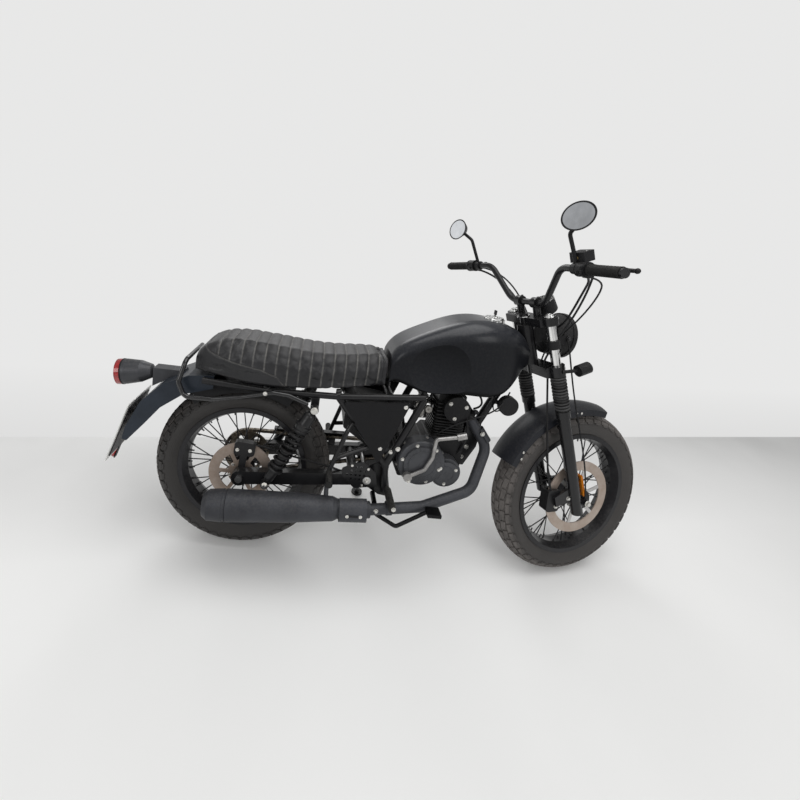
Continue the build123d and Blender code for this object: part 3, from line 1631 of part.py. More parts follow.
def header_shield():
    """A curved plate that stands off the front of the header pipe's first bend."""
    start, knee = Vector(*header_points[0]), Vector(*header_points[1])
    run = knee - start
    low = start + run * shield_start_share
    high = start + run * shield_end_share
    shell = rod(low, high, shield_radius)
    shell -= rod((low - run), (high + run), shield_radius - shield_wall)
    back = Plane(origin=low, z_dir=run)
    keep = Box(
        shield_radius * 4, shield_radius * 4, run.length, align=(Align.CENTER, Align.CENTER, Align.MIN),
    )
    across = run.cross(Vector(0, 1, 0)).normalized()
    if across.X < 0:
        across = across * -1
    side = Plane(origin=(low + across * shield_cut), x_dir=across, z_dir=run)
    front = Box(
        shield_radius * 2, shield_radius * 4, run.length * 2, align=(Align.MIN, Align.CENTER, Align.CENTER),
    )
    shape = shell & (side * front)
    for share in (shield_start_share + shield_post_share, shield_end_share - shield_post_share):
        spot = start + run * share
        post = rod(spot, (spot + across * (shield_radius - shield_wall / 2)), guard_post_radius)
        post -= rod(start, knee, header_radius + play)
        shape += post
    return shape


def muffler():
    """The muffler: a neck, a long barrel with a stepped end cap, an outlet and a hanger lug."""
    front = Vector(muffler_front_x, muffler_y, muffler_front_z)
    rear = Vector(muffler_rear_x, muffler_y, muffler_rear_z)
    length = (front - rear).length
    outline = [(0, 0)]
    for along, share in muffler_stations:
        outline.append((share * muffler_shell_radius, along * length))
    outline += [(0, length)]
    place = Plane(origin=front, x_dir=(0, 1, 0), z_dir=(rear - front))
    body = revolve(Plane.XZ * Polygon(*outline, align=None), Axis.Z)
    body -= Pos(0, 0, length - muffler_bore_depth) * Cylinder(
        muffler_bore_radius, muffler_bore_depth * 2, align=(Align.CENTER, Align.CENTER, Align.MIN),
    )
    socket_depth = header_end_gap * 4
    body -= Cylinder(header_radius + 2 * muffler_wall_step, socket_depth * 2)
    start, wall = muffler_guard_start, muffler_guard_wall
    shell = Cylinder(
        muffler_guard_radius, muffler_guard_length, align=(Align.CENTER, Align.CENTER, Align.MIN),
    )
    shell -= Cylinder(
        muffler_guard_radius - wall, muffler_guard_length, align=(Align.CENTER, Align.CENTER, Align.MIN),
    )
    shell &= Box(
        muffler_guard_radius * 2,
        muffler_guard_radius * 2,
        muffler_guard_length,
        align=(Align.MAX, Align.CENTER, Align.MIN),
    )
    body += Pos(0, 0, start) * shell
    for share in muffler_guard_post_shares:
        level = start + share * muffler_guard_length
        body += rod(
            (-header_radius - 3 * wall, 0, level),
            (-muffler_guard_radius + wall / 2, 0, level),
            muffler_guard_post_radius,
        )
    shape = place * body
    lug_z = muffler_front_z - (muffler_front_z - muffler_rear_z) * (muffler_front_x - hanger_x) / (muffler_front_x - muffler_rear_x)
    lug_top = (hanger_x, -hanger_y, hanger_muffler_z - 2 * rail_tube_radius)
    shape += rod((hanger_x, -hanger_y, hanger_muffler_z - seat_gap), lug_top, rail_tube_radius)
    return shape + rod(lug_top, (hanger_x, muffler_y, lug_z), rail_tube_radius)


# Tail
def rear_fender():
    """The inner rear fender, a strip round the tyre with a lip down each side."""
    inner = fender_inner_radius
    outer = inner + rear_fender_wall
    half = rear_fender_half_width
    low = inner - rear_fender_lip
    wall = rear_fender_wall
    outline = [
        (-half, low), (-half, outer), (half, outer), (half, low),
        (half - wall, low), (half - wall, inner), (wall - half, inner), (wall - half, low),
    ]
    face = Plane.YZ * Polygon(*outline, align=None)
    strip = revolve(face, Axis.Y, revolution_arc=rear_fender_front_angle - rear_fender_rear_angle)
    strip = Rot(0, 90 - rear_fender_front_angle, 0) * strip
    shape = Pos(0, 0, rear_tyre_radius) * strip
    for x, z in ((rail_low_x, rail_low_z), (-rail_low_x, rail_low_z)):
        shape += both(
            cross_rod(x, rear_tyre_radius + low_lug_height(x), half - wall / 2, rail_half_width - rail_radius - seat_gap, rear_lug_radius),
        )
    return shape


def low_lug_height(x):
    """How high above the axle a lug on the fender's side wall lies."""
    reach = fender_inner_radius - rear_lug_radius
    return sqrt(reach**2 - x**2)


def inset_line(points, amount):
    """A run of points moved inward, to the right of the way along it."""
    moved = []
    for index, (x, z) in enumerate(points):
        before = points[max(index - 1, 0)]
        after = points[min(index + 1, len(points) - 1)]
        run = (after[0] - before[0], after[1] - before[1])
        size = hypot(*run)
        moved.append((x - run[1] / size * amount, z + run[0] / size * amount))
    return moved


def tail_cowl():
    """The tail behind the seat: a channel that curves down over the tyre."""
    outline = spread(cowl_shares, cowl_x, cowl_base_z, cowl_length, cowl_height)
    shape = side_plate(outline, -cowl_half_width, cowl_half_width)
    shape = fillet(shape.edges().filter_by(Axis.Y).group_by(Axis.Z)[-1], cowl_wall)
    top = inset_line(outline[:cowl_top_count], cowl_wall)
    start = (outline[0][0] + cut_over, outline[0][1] - cowl_wall)
    low = [(top[-1][0], cowl_base_z - cowl_height), (outline[0][0] + cut_over, cowl_base_z - cowl_height)]
    cavity = side_plate([start] + top + low, cowl_wall - cowl_half_width, cowl_half_width - cowl_wall)
    return shape - cavity


def lamp_bracket():
    """The bracket between the tail cowl and the tail lamp."""
    outline = spread(
        lamp_bracket_shares, lamp_bracket_x, lamp_bracket_base_z, lamp_bracket_length, lamp_bracket_height,
    )
    half = tail_bracket_width / 2
    cowl = spread(cowl_shares, cowl_x, cowl_base_z, cowl_length, cowl_height)
    return side_plate(outline, -half, half) - Pos(0, 0, seat_gap) * side_plate(
        cowl, -cowl_half_width, cowl_half_width,
    )


def tail_lamp():
    """The bullet-shaped tail lamp, without its lens."""
    return tail_lamp_place() * revolve(Plane.XZ * Polygon(*tail_outline(), align=None), Axis.Z)


def tail_outline():
    """The lamp's outline from its front end to the recess for its lens."""
    outline = [(0, 0)]
    for along, share in tail_stations:
        outline.append((share * tail_lamp_radius, along * tail_lamp_length))
    return outline + [(tail_stations[-1][1] * tail_lamp_radius * tail_lens_share, tail_lamp_length), (tail_stations[-1][1] * tail_lamp_radius * tail_lens_share, tail_lamp_length - tail_lens_depth), (0, tail_lamp_length - tail_lens_depth)]


def tail_lamp_place():
    """The tail lamp's own frame, from its front end backward."""
    tilt = radians(tail_lamp_tilt_angle)
    front = (lamp_rear_x + tail_lamp_length * cos(tilt), 0, lamp_rear_z + tail_lamp_length * sin(tilt))
    return Plane(origin=front, x_dir=(0, 1, 0), z_dir=(-cos(tilt), 0, -sin(tilt)))


def tail_lens():
    """The red lens in the tail lamp's end."""
    radius = tail_stations[-1][1] * tail_lamp_radius * tail_lens_share - seat_gap
    base = tail_lamp_length - tail_lens_depth + seat_gap
    lens = Cylinder(radius, tail_lens_depth, align=(Align.CENTER, Align.CENTER, Align.MIN))
    lens = fillet(lens.edges().group_by(Axis.Z)[-1], tail_lens_depth / 3)
    return tail_lamp_place() * (Pos(0, 0, base) * lens)


def plate_frame():
    """The number plate's own frame: its top edge's middle, leaning back as it goes down."""
    return Pos(plate_top_x, 0, plate_top_z) * Rot(0, plate_tilt_angle, 0)


def number_plate():
    """The blank number plate."""
    plate = Box(plate_thickness, plate_width, plate_height, align=(Align.MAX, Align.CENTER, Align.MAX))
    return plate_frame() * fillet(plate.edges().filter_by(Axis.X), cap_lip)


def plate_carrier():
    """The plate's backing frame and the two arms that hold it on the tail cowl."""
    back = Box(
        plate_thickness,
        plate_width * plate_back_share,
        plate_height * plate_back_share,
        align=(Align.MIN, Align.CENTER, Align.MAX),
    )
    shape = plate_frame() * (Pos(seat_gap, 0, -plate_height * (1 - plate_back_share) / 2) * back)
    tongue_height = plate_height / 2 + plate_reflector_gap + 2 * rear_reflector_radius
    tongue = Box(
        plate_thickness, rear_reflector_radius, tongue_height, align=(Align.MIN, Align.CENTER, Align.MAX),
    )
    shape += plate_frame() * (Pos(seat_gap, 0, -plate_height / 2) * tongue)
    cowl = spread(cowl_shares, cowl_x, cowl_base_z, cowl_length, cowl_height)
    solid = side_plate(cowl, -cowl_half_width, cowl_half_width)
    for level in plate_arm_shares:
        z = plate_top_z - level * plate_height
        x = plate_top_x - level * plate_height * sin(radians(plate_tilt_angle))
        start = x + plate_thickness * 2
        arm = both(
            rod((start, plate_width * plate_arm_share, z), (x + plate_width / 2, plate_width * plate_arm_share, z), plate_arm_radius),
        )
        shape += (arm - Pos(-seat_gap, 0, 0) * solid) & half_behind(cowl)
    return shape


def half_behind(cowl):
    """All the room behind the tail cowl's rear line."""
    line = cowl[2:cowl_top_count]
    far = cowl_x - cowl_length
    outline = [(far, line[0][1])] + list(line) + [(line[-1][0], cowl_base_z - cut_over), (far, cowl_base_z - cut_over)]
    return side_plate(outline, -cowl_half_width, cowl_half_width)


def rear_reflector():
    """The round red reflector under the number plate's edge."""
    disc = Cylinder(rear_reflector_radius, reflector_depth)
    disc = Rot(0, 90, 0) * disc
    low = -plate_height - plate_reflector_gap - rear_reflector_radius
    return plate_frame() * (Pos(-reflector_depth / 2 - seat_gap, 0, low) * disc)


def grab_rail():
    """The passenger's rail along both sides and round the back of the seat."""
    side = [(x, -grab_half_width, z) for x, z in grab_points]
    rear = grab_points[-1]
    right = side + [(grab_top_x, -grab_rear_half_width, grab_top_z)]
    left = [(x, -y, z) for x, y, z in reversed(right)]
    shape = bent_tube(right + left, grab_bend, rail_tube_radius)
    for x, z in (grab_points[1], grab_points[2]):
        low = rail_half_width + rail_radius - grab_sink
        post = cross_rod(x, z, low, grab_half_width, guard_post_radius)
        shape += both(post - seat_rail(rail_radius + play))
    return shape


# Controls and chain
def rider_pegs():
    """The rider's two foot pegs with their mounts."""
    start = brace_half_width + brace_radius + seat_gap
    shape = cross_rod(peg_x, peg_z, start, peg_inner, peg_mount_radius)
    return both(shape + cross_rod(peg_x, peg_z, peg_inner, peg_inner + peg_length, peg_radius))


def brake_pedal():
    """The rear brake pedal, from its pivot under the right peg to its pad."""
    start = pivot_plate_outer + seat_gap
    x, z = pedal_points[0][0], pedal_points[0][2]
    shape = cross_rod(x, z, -brake_pivot_outer, -start, peg_mount_radius)
    shape += bent_tube(pedal_points, brake_bend, brake_pedal_radius)
    tip = pedal_points[-1]
    pad = Box(
        brake_pad_length,
        brake_pad_length,
        brake_pad_thickness,
        align=(Align.CENTER, Align.CENTER, Align.MIN),
    )
    return shape + Pos(tip[0] + brake_pad_length / 3, tip[1] - brake_pad_length / 4, tip[2]) * pad


def kick_lever():
    """The kick starter lever on its boss, folded against the engine."""
    start = -(case_half_width + seat_gap + clutch_cover_depth + filter_cap_height + seat_gap)
    shape = cross_rod(kick_x, kick_z, start - kick_boss_length, start, kick_boss_radius)
    y = start - kick_boss_length / 2
    points = [(kick_x, y, kick_z)] + [(x, y, z) for x, z in kick_points]
    shape += bent_tube(points, kick_bend, kick_radius)
    tip = points[-1]
    return shape + rod(
        (tip[0], tip[1], tip[2]),
        (tip[0] + kick_tip, tip[1], tip[2] + kick_tip / 3),
        kick_boss_radius * kick_tip_share,
    )


def shift_lever():
    """The gear lever on the left of the engine."""
    start = case_half_width + seat_gap
    y = start + generator_depth + kick_radius * 2
    shape = cross_rod(shift_points[0][0], shift_points[0][1], start, y, shift_radius)
    shape += bent_tube([(x, y, z) for x, z in shift_points], kick_bend, shift_radius)
    tip = shift_points[-1]
    return shape + cross_rod(tip[0], tip[1], y, y + brake_pad_length, shift_radius * 3 / 2)


def loop_face(rear_r, front_r, plane_y):
    """A face round both sprockets at these radii."""
    dx, dz = front_sprocket_x, front_sprocket_z - rear_tyre_radius
    reach = hypot(dx, dz)
    slope = atan2(dz, dx)
    lean_in = asin((rear_r - front_r) / reach)
    corners = []
    for side, centre, radius in ((1, (0, 0), rear_r), (1, (dx, dz), front_r), (-1, (dx, dz), front_r), (-1, (0, 0), rear_r)):
        angle = slope + side * (radians(90) - lean_in)
        corners.append((centre[0] + radius * cos(angle), rear_tyre_radius + centre[1] + radius * sin(angle)))
    sketch = Polygon(*corners, align=None)
    sketch += Pos(0, rear_tyre_radius) * Circle(rear_r)
    sketch += Pos(dx, front_sprocket_z) * Circle(front_r)
    return Plane(origin=(0, plane_y, 0), x_dir=(1, 0, 0), z_dir=(0, -1, 0)) * sketch


def drive_chain():
    """The chain's loop with the driving sprocket inside its front end."""
    half = chain_height / 2
    high = chain_plane + chain_width / 2
    outer = extrude(
        loop_face(rear_pitch_radius + half, front_pitch_radius + half, high),
        amount=chain_width,
        dir=(0, -1, 0),
    )
    inner = extrude(
        loop_face(rear_pitch_radius - half, front_pitch_radius - half, high + cut_over),
        amount=chain_width + 2 * cut_over,
        dir=(0, -1, 0),
    )
    band = outer - inner
    hub = cross_rod(front_sprocket_x, front_sprocket_z, high - chain_width, high, front_pitch_radius)
    return band + hub


def chain_guard():
    """A guard over the chain's upper run, on two posts from the swing arm."""
    dx, dz = front_sprocket_x, front_sprocket_z - rear_tyre_radius
    rear_r = rear_pitch_radius + chain_height / 2 + chain_guard_gap
    front_r = front_pitch_radius + chain_height / 2 + chain_guard_gap
    start = (chain_guard_start_share * dx, rear_tyre_radius + rear_r + chain_guard_start_share * (dz + front_r - rear_r) + chain_guard_rise)
    end = (chain_guard_end_share * dx, rear_tyre_radius + rear_r + chain_guard_end_share * (dz + front_r - rear_r) + chain_guard_rise)
    wall = chain_guard_wall
    low_y = chain_plane - chain_guard_width / 2
    top = [start, end, (end[0], end[1] - wall), (start[0], start[1] - wall)]
    shape = side_plate(top, low_y, low_y + chain_guard_width)
    side = [start, end, (end[0], end[1] - chain_guard_width), (start[0], start[1] - chain_guard_width)]
    shape += side_plate(side, low_y + chain_guard_width - wall, low_y + chain_guard_width)
    for share in chain_post_shares:
        x = start[0] + share * (end[0] - start[0])
        z = start[1] + share * (end[1] - start[1])
        arm_z = rear_tyre_radius + arm_top(x)
        y = low_y + chain_guard_width
        post = Box(
            chain_guard_width,
            wall,
            z - chain_guard_width / 2 - arm_z - seat_gap,
            align=(Align.CENTER, Align.MIN, Align.MIN),
        )
        foot = Box(chain_guard_width, chain_guard_width / 2, wall, align=(Align.CENTER, Align.MIN, Align.MIN))
        shape += Pos(x, y, arm_z + seat_gap) * (post + foot)
    return shape


def arm_top(x):
    """The height of the swing arm's upper edge above the axle, at a place along it."""
    front = pivot_z - rear_tyre_radius + arm_pivot_radius * arm_waist_share
    return arm_axle_radius + (front - arm_axle_radius) * x / pivot_x + arm_top_clear


def sprocket_cover():
    """The cover over the driving sprocket, open to the rear for the chain."""
    outline = spread(
        sprocket_cover_shares,
        sprocket_cover_x,
        sprocket_cover_base_z,
        sprocket_cover_length,
        sprocket_cover_height,
    )
    low = case_half_width + seat_gap
    shape = side_plate(outline, low, low + sprocket_cover_depth)
    pocket_r = front_pitch_radius + chain_height / 2 + sprocket_cover_wall / 2
    depth = chain_plane + chain_width / 2 + sprocket_cover_wall / 2
    shape -= cross_rod(front_sprocket_x, front_sprocket_z, low - cut_over, depth, pocket_r)
    tall = 2 * pocket_r + 3 * sprocket_cover_wall
    wide = Box(
        front_sprocket_x - sprocket_cover_x + cut_over,
        depth - low + cut_over,
        tall,
        align=(Align.MAX, Align.MAX, Align.CENTER),
    )
    return shape - Pos(front_sprocket_x, depth, front_sprocket_z) * wide


def pivot_guard():
    """The perforated heel guard on the right of the swing arm's pivot."""
    outline = spread(guard_shares, guard_x, guard_base_z, guard_length, guard_height)
    shape = side_plate(outline, guard_y, guard_y + guard_thickness, guard_round)
    middle_x, middle_z = guard_x + guard_length / 2, guard_base_z + guard_height / 2
    for column, row in guard_holes:
        x = middle_x + column * guard_hole_pitch
        z = middle_z + row * guard_hole_pitch
        shape -= cross_rod(x, z, guard_y - cut_over, guard_y + cut_over, guard_hole_radius)
    for along, up in guard_post_shares:
        x, z = guard_x + along * guard_length, guard_base_z + up * guard_height
        shape += cross_rod(x, z, arm_outer + seat_gap, guard_y + guard_thickness / 2, guard_post_radius)
    shape -= cross_rod(pivot_x, pivot_z, guard_y - cut_over, guard_y + cut_over, pivot_nut_radius + play)
    return mirror(shape, about=Plane.XZ)


# Side stand, drawn in its parked place
def stand_pivot():
    """The hinge's middle in the motorcycle's own upright place."""
    return (stand_x, stand_y, stand_z)


def park_direction(vector, back=False):
    """A direction turned by the parked lean, or turned back upright."""
    lean = radians(-lean_angle if back else lean_angle)
    x, y, z = vector
    return (x, y * cos(lean) + z * sin(lean), z * cos(lean) - y * sin(lean))


def stand_leg():
    """From the hinge to the foot's place on the floor, in the parked frame."""
    middle = park_point(stand_pivot())
    return Vector(stand_lead, stand_spread, -middle[2])


def parked_stand_axis():
    """The hinge axis in the parked frame: square to the leg when down and when folded back."""
    return stand_leg().cross(Vector(-1, 0, 0)).normalized()


def stand_axis():
    """The hinge axis in the motorcycle's own upright frame."""
    axis = parked_stand_axis()
    return Vector(*park_direction((axis.X, axis.Y, axis.Z), back=True))


def side_stand():
    """The side stand in its parked place: an ear, a leg and a foot flat on the floor."""
    middle = Vector(*park_point(stand_pivot()))
    axis = parked_stand_axis()
    half = axis * (stand_ear_thickness / 2)
    foot = middle + stand_leg()
    shape = rod((middle - half), (middle + half), stand_ear_radius)
    shape += rod(middle, (foot.X, foot.Y, stand_foot_height / 2), stand_radius)
    below = rod((foot.X, foot.Y, -cut_over), (foot.X, foot.Y, 0), stand_foot_radius * 2)
    shape -= below
    shape += rod((foot.X, foot.Y, 0), (foot.X, foot.Y, stand_foot_height), stand_foot_radius)
    return shape - rod((middle - half * 3), (middle + half * 3), stand_pin_radius + play)


# Parked stance
def steer_point(point):
    """A point of the front end, given on the steering axis, moved to the upright motorcycle."""
    turn = radians(steer_angle)
    u, v, w = point
    u, v = u * cos(turn) - v * sin(turn), u * sin(turn) + v * cos(turn)
    x, z = on_axis(u, w)
    return (x, v, z)


def lean_only(point):
    """A point leaned about the floor line under the tyres."""
    lean = radians(lean_angle)
    x, y, z = point
    return (x, y * cos(lean) + z * sin(lean), z * cos(lean) - y * sin(lean))


def tyre_floor(centre, axis, radius, crown):
    """The point of a tyre that is lowest, for a wheel with this axis."""
    spread_share = sqrt(1 - axis[2] ** 2)
    down = (axis[0] * axis[2] / spread_share, axis[1] * axis[2] / spread_share, -spread_share)
    ring = [c + d * (radius - crown) for c, d in zip(centre, down)]
    return (ring[0], ring[1], ring[2] - crown)


def floor_points():
    """The two tyres' lowest points after the lean."""
    rear_axis = lean_only((0, 1, 0))
    rear = tyre_floor(lean_only((0, 0, rear_tyre_radius)), rear_axis, rear_tyre_radius, rear_crown_radius)
    hub, tip = steer_point((fork_offset, 0, 0)), steer_point((fork_offset, 1, 0))
    axis = lean_only([b - a for a, b in zip(hub, tip)])
    front = tyre_floor(lean_only(hub), axis, front_tyre_radius, front_crown_radius)
    return rear, front


def park_values():
    """The small pitch and the drop that put both tyres on the floor."""
    rear, front = floor_points()
    pitch = atan2(front[2] - rear[2], front[0] - rear[0])
    drop = rear[2] * cos(pitch) - rear[0] * sin(pitch)
    return pitch, drop


PITCH, DROP = park_values()


def park_point(point):
    """A point of the upright motorcycle in its parked place."""
    x, y, z = lean_only(point)
    return (x * cos(PITCH) + z * sin(PITCH), y, z * cos(PITCH) - x * sin(PITCH) - DROP)


PARK = Pos(0, 0, -DROP) * Rot(0, degrees(PITCH), 0) * Rot(-lean_angle, 0, 0)
STEERED = PARK * FORK_PLANE.location * Rot(0, 0, steer_angle)
REAR_WHEEL = PARK * Pos(0, 0, rear_tyre_radius)
FRONT_WHEEL = STEERED * Pos(fork_offset, 0, 0)


def pieces():
    """Every node's name, the frame it is drawn in and its shape."""
    front = (front_bead_radius, front_rim_width)
    rear = (rear_bead_radius, rear_rim_width)
    rear_hub = spoke_and_hub(rear_flange_plane, rear_hub_end, *rear)
    low, high = rear_hub_end - sprocket_carrier_length, sprocket_plane - sprocket_thickness / 2
    rear_hub += cross_rod(0, 0, low, high, sprocket_carrier_radius)
    rear_hub -= cross_rod(0, 0, -rear_hub_end * 2, rear_hub_end * 2, axle_radius + play)
    rear_hub -= cross_rod(0, 0, rear_hub_end, rear_hub_end * 2, sprocket_bore_radius)
    legs = lower_legs() + caliper_lug() + reflector_clip() + front_axle()
    side = side_cover()
    return (
        ("front_tyre", FRONT_WHEEL, tyre(front_tyre_radius, front_tyre_width, front_crown_radius, *front)),
        ("front_rim", FRONT_WHEEL, rim(*front)),
        ("front_spokes", FRONT_WHEEL, spoke_and_hub(front_flange_plane, front_hub_end, *front)),
        ("front_brake_disc", FRONT_WHEEL, brake_disc(front_disc_radius, front_disc_plane, disc_mount_radius)),
        ("rear_tyre", REAR_WHEEL, tyre(rear_tyre_radius, rear_tyre_width, rear_crown_radius, *rear)),
        ("rear_rim", REAR_WHEEL, rim(*rear)),
        ("rear_spokes", REAR_WHEEL, rear_hub),
        ("rear_brake_disc", REAR_WHEEL, brake_disc(rear_disc_radius, rear_disc_plane, disc_mount_radius)),
        ("rear_sprocket", REAR_WHEEL, rear_sprocket()),
        ("fork_clamps", STEERED, fork_clamps() + handlebar_risers()),
        ("fork_tubes", STEERED, stanchions()),
        ("fork_boots", STEERED, fork_boots()),
        ("fork_lower_legs", STEERED, legs),
        ("front_fender", STEERED, front_fender()),
        ("front_caliper", STEERED, front_caliper() + brake_hose()),
        ("amber_reflector", STEERED, amber_reflector()),
        ("headlamp", STEERED, headlamp()),
        ("headlamp_lens", STEERED, headlamp_lens()),
        ("speedometer", STEERED, speedometer()),
        ("turn_signals", STEERED, turn_signals()),
        ("handlebar", STEERED, handlebar()),
        ("grips", STEERED, grips()),
        ("hand_controls", STEERED, hand_controls() + mirrors()),
        ("mirror_glasses", STEERED, mirrors(glass=True)),
        ("main_frame", PARK, main_frame()),
        ("rear_frame_left", PARK, rear_frame_left()),
        ("rear_frame_right", PARK, rear_frame_right()),
        ("foot_pegs", PARK, rider_pegs() + passenger_pegs()),
        ("swing_arm", PARK, swing_arm()),
        ("rear_axle", PARK, rear_axle() + pivot_bolt()),
        ("rear_caliper", PARK, rear_caliper()),
        ("shocks", PARK, both(shock())),
        ("fuel_tank", PARK, fuel_tank()),
        ("rubber_pads", PARK, tank_pads() + seat_pads()),
        ("fuel_cap", PARK, fuel_cap()),
        ("seat", PARK, seat()),
        ("side_covers", PARK, both(side)),
        ("air_box", PARK, air_box()),
        ("carburettor", PARK, carburettor()),
        ("crankcase", PARK, crankcase()),
        ("engine_covers", PARK, clutch_cover() + generator_cover() + sprocket_cover()),
        ("cylinder", PARK, barrel_clear()),
        ("cylinder_head", PARK, cylinder_head()),
        ("header_pipe", PARK, header_pipe()),
        ("header_shield", PARK, header_shield()),
        ("muffler", PARK, muffler()),
        ("rear_fender", PARK, rear_fender()),
        ("tail_cowl", PARK, tail_cowl()),
        ("tail_lamp", PARK, tail_lamp() + lamp_bracket()),
        ("red_lenses", PARK, tail_lens() + rear_reflector()),
        ("number_plate", PARK, number_plate()),
        ("plate_carrier", PARK, plate_carrier()),
        ("grab_rail", PARK, grab_rail()),
        ("foot_controls", PARK, brake_pedal() + kick_lever() + shift_lever()),
        ("drive_chain", PARK, drive_chain()),
        ("guards", PARK, chain_guard() + pivot_guard()),
        ("horn", PARK, horn()),
        ("side_stand", Location(), side_stand()),
    )


def write_pieces():
    """Write each node as a STEP file, with the box round the whole motorcycle centred on the floor."""
    parked = [(name, place * shape) for name, place, shape in pieces()]
    boxes = [shape.bounding_box() for name, shape in parked]
    middle_x = (min(box.min.X for box in boxes) + max(box.max.X for box in boxes)) / 2
    middle_y = (min(box.min.Y for box in boxes) + max(box.max.Y for box in boxes)) / 2
    floor_z = min(box.min.Z for box in boxes)
    os.makedirs("parts", exist_ok=True)
    for name, shape in parked:
        export_step(Pos(-middle_x, -middle_y, -floor_z) * shape, f"parts/{name}.step")
    return middle_x, middle_y, floor_z


if __name__ == "__main__":
    write_pieces()
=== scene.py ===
import json
from math import atan2, cos, pi, radians, sin, sqrt, tau

import bmesh
import bpy
from bpy.props import FloatProperty, FloatVectorProperty, IntProperty, PointerProperty
from bpy.types import Operator, Panel, PropertyGroup
from mathutils import Matrix, Vector
from mathutils.bvhtree import BVHTree


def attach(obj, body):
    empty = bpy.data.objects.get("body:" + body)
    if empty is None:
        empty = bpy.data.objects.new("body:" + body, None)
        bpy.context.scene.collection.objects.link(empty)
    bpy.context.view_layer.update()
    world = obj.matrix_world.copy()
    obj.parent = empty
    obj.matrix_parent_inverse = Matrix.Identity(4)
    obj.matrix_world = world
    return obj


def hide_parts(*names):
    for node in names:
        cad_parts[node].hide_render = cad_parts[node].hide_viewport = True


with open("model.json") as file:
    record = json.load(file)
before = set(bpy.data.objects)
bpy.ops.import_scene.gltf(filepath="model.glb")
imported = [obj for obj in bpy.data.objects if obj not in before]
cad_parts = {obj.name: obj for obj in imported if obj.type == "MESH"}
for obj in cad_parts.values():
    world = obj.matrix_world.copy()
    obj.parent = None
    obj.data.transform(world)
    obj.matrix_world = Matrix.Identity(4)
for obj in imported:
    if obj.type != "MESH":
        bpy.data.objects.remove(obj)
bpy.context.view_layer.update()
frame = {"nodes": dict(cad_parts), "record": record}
nodes = frame["nodes"]
slots = {name: part.material_slots[0].material.name for name, part in nodes.items()}
for packed in list(bpy.data.materials):
    packed.name = "packed_" + packed.name

bl_info = {
    "name": "Scrambler motorcycle",
    "version": (1, 0, 0),
    "blender": (4, 5, 0),
    "location": "View3D > Sidebar > Scrambler",
    "description": "Dresses the packed frame of a parked scrambler motorcycle",
    "category": "Object",
}

# Places of reference, in millimetres once inside a place
MM = 0.001
LEAN, PITCH, RAKE, STEER = radians(9), radians(0.0527), radians(21), radians(14)
PARKED = (-0.548064, -0.178456, 0.000887)
BIKE = (
    Matrix.Translation(PARKED) @ Matrix.Rotation(PITCH, 4, "Y") @ Matrix.Rotation(-LEAN, 4, "X")
    @ Matrix.Scale(MM, 4)
)
FORK = (
    BIKE @ Matrix.Translation((1193.4, 0, 298.4)) @ Matrix.Rotation(-RAKE, 4, "Y")
    @ Matrix.Rotation(STEER, 4, "Z")
)
FRONT_WHEEL = FORK @ Matrix.Translation((66, 0, 0))
REAR_WHEEL = BIKE @ Matrix.Translation((0, 0, 314))
WHEELS = {"front": FRONT_WHEEL, "rear": REAR_WHEEL}
PLACES = {"chassis": BIKE, "steering": FORK}
# the headlamp, in the fork's place
LAMP = Matrix.Translation((100, 0, 636)) @ Matrix.Rotation(RAKE, 4, "Y")
SMOOTH = radians(38)


# Shader maths
class Value:
    """A shader socket that joins in plain arithmetic."""

    def __init__(self, finish, socket):
        self.finish, self.socket = finish, socket

    def math(self, operation, first, second=0.0):
        return self.finish.node("ShaderNodeMath", {"operation": operation}, {0: first, 1: second})

    def __add__(self, other):
        return self.math("ADD", self, other)

    def __sub__(self, other):
        return self.math("SUBTRACT", self, other)

    def __rsub__(self, other):
        return self.math("SUBTRACT", other, self)

    def __mul__(self, other):
        return self.math("MULTIPLY", self, other)

    __radd__ = __add__
    __rmul__ = __mul__

    def at_least(self, other):
        return self.math("MAXIMUM", self, other)

    def at_most(self, other):
        return self.math("MINIMUM", self, other)

    def ramp(self, low, high):
        """0 below low, 1 above high, straight between."""
        settings = {"clamp": True, "data_type": "FLOAT"}
        return self.finish.node(
            "ShaderNodeMapRange", settings, {0: self, 1: low, 2: high, 3: 0.0, 4: 1.0}
        )

    def wave(self, turns):
        """A wave from 0 to 1 that turns this many times in one unit."""
        return self.math("SINE", self * (turns * tau)) * 0.5 + 0.5

    def power(self, other):
        return self.math("POWER", self, other)


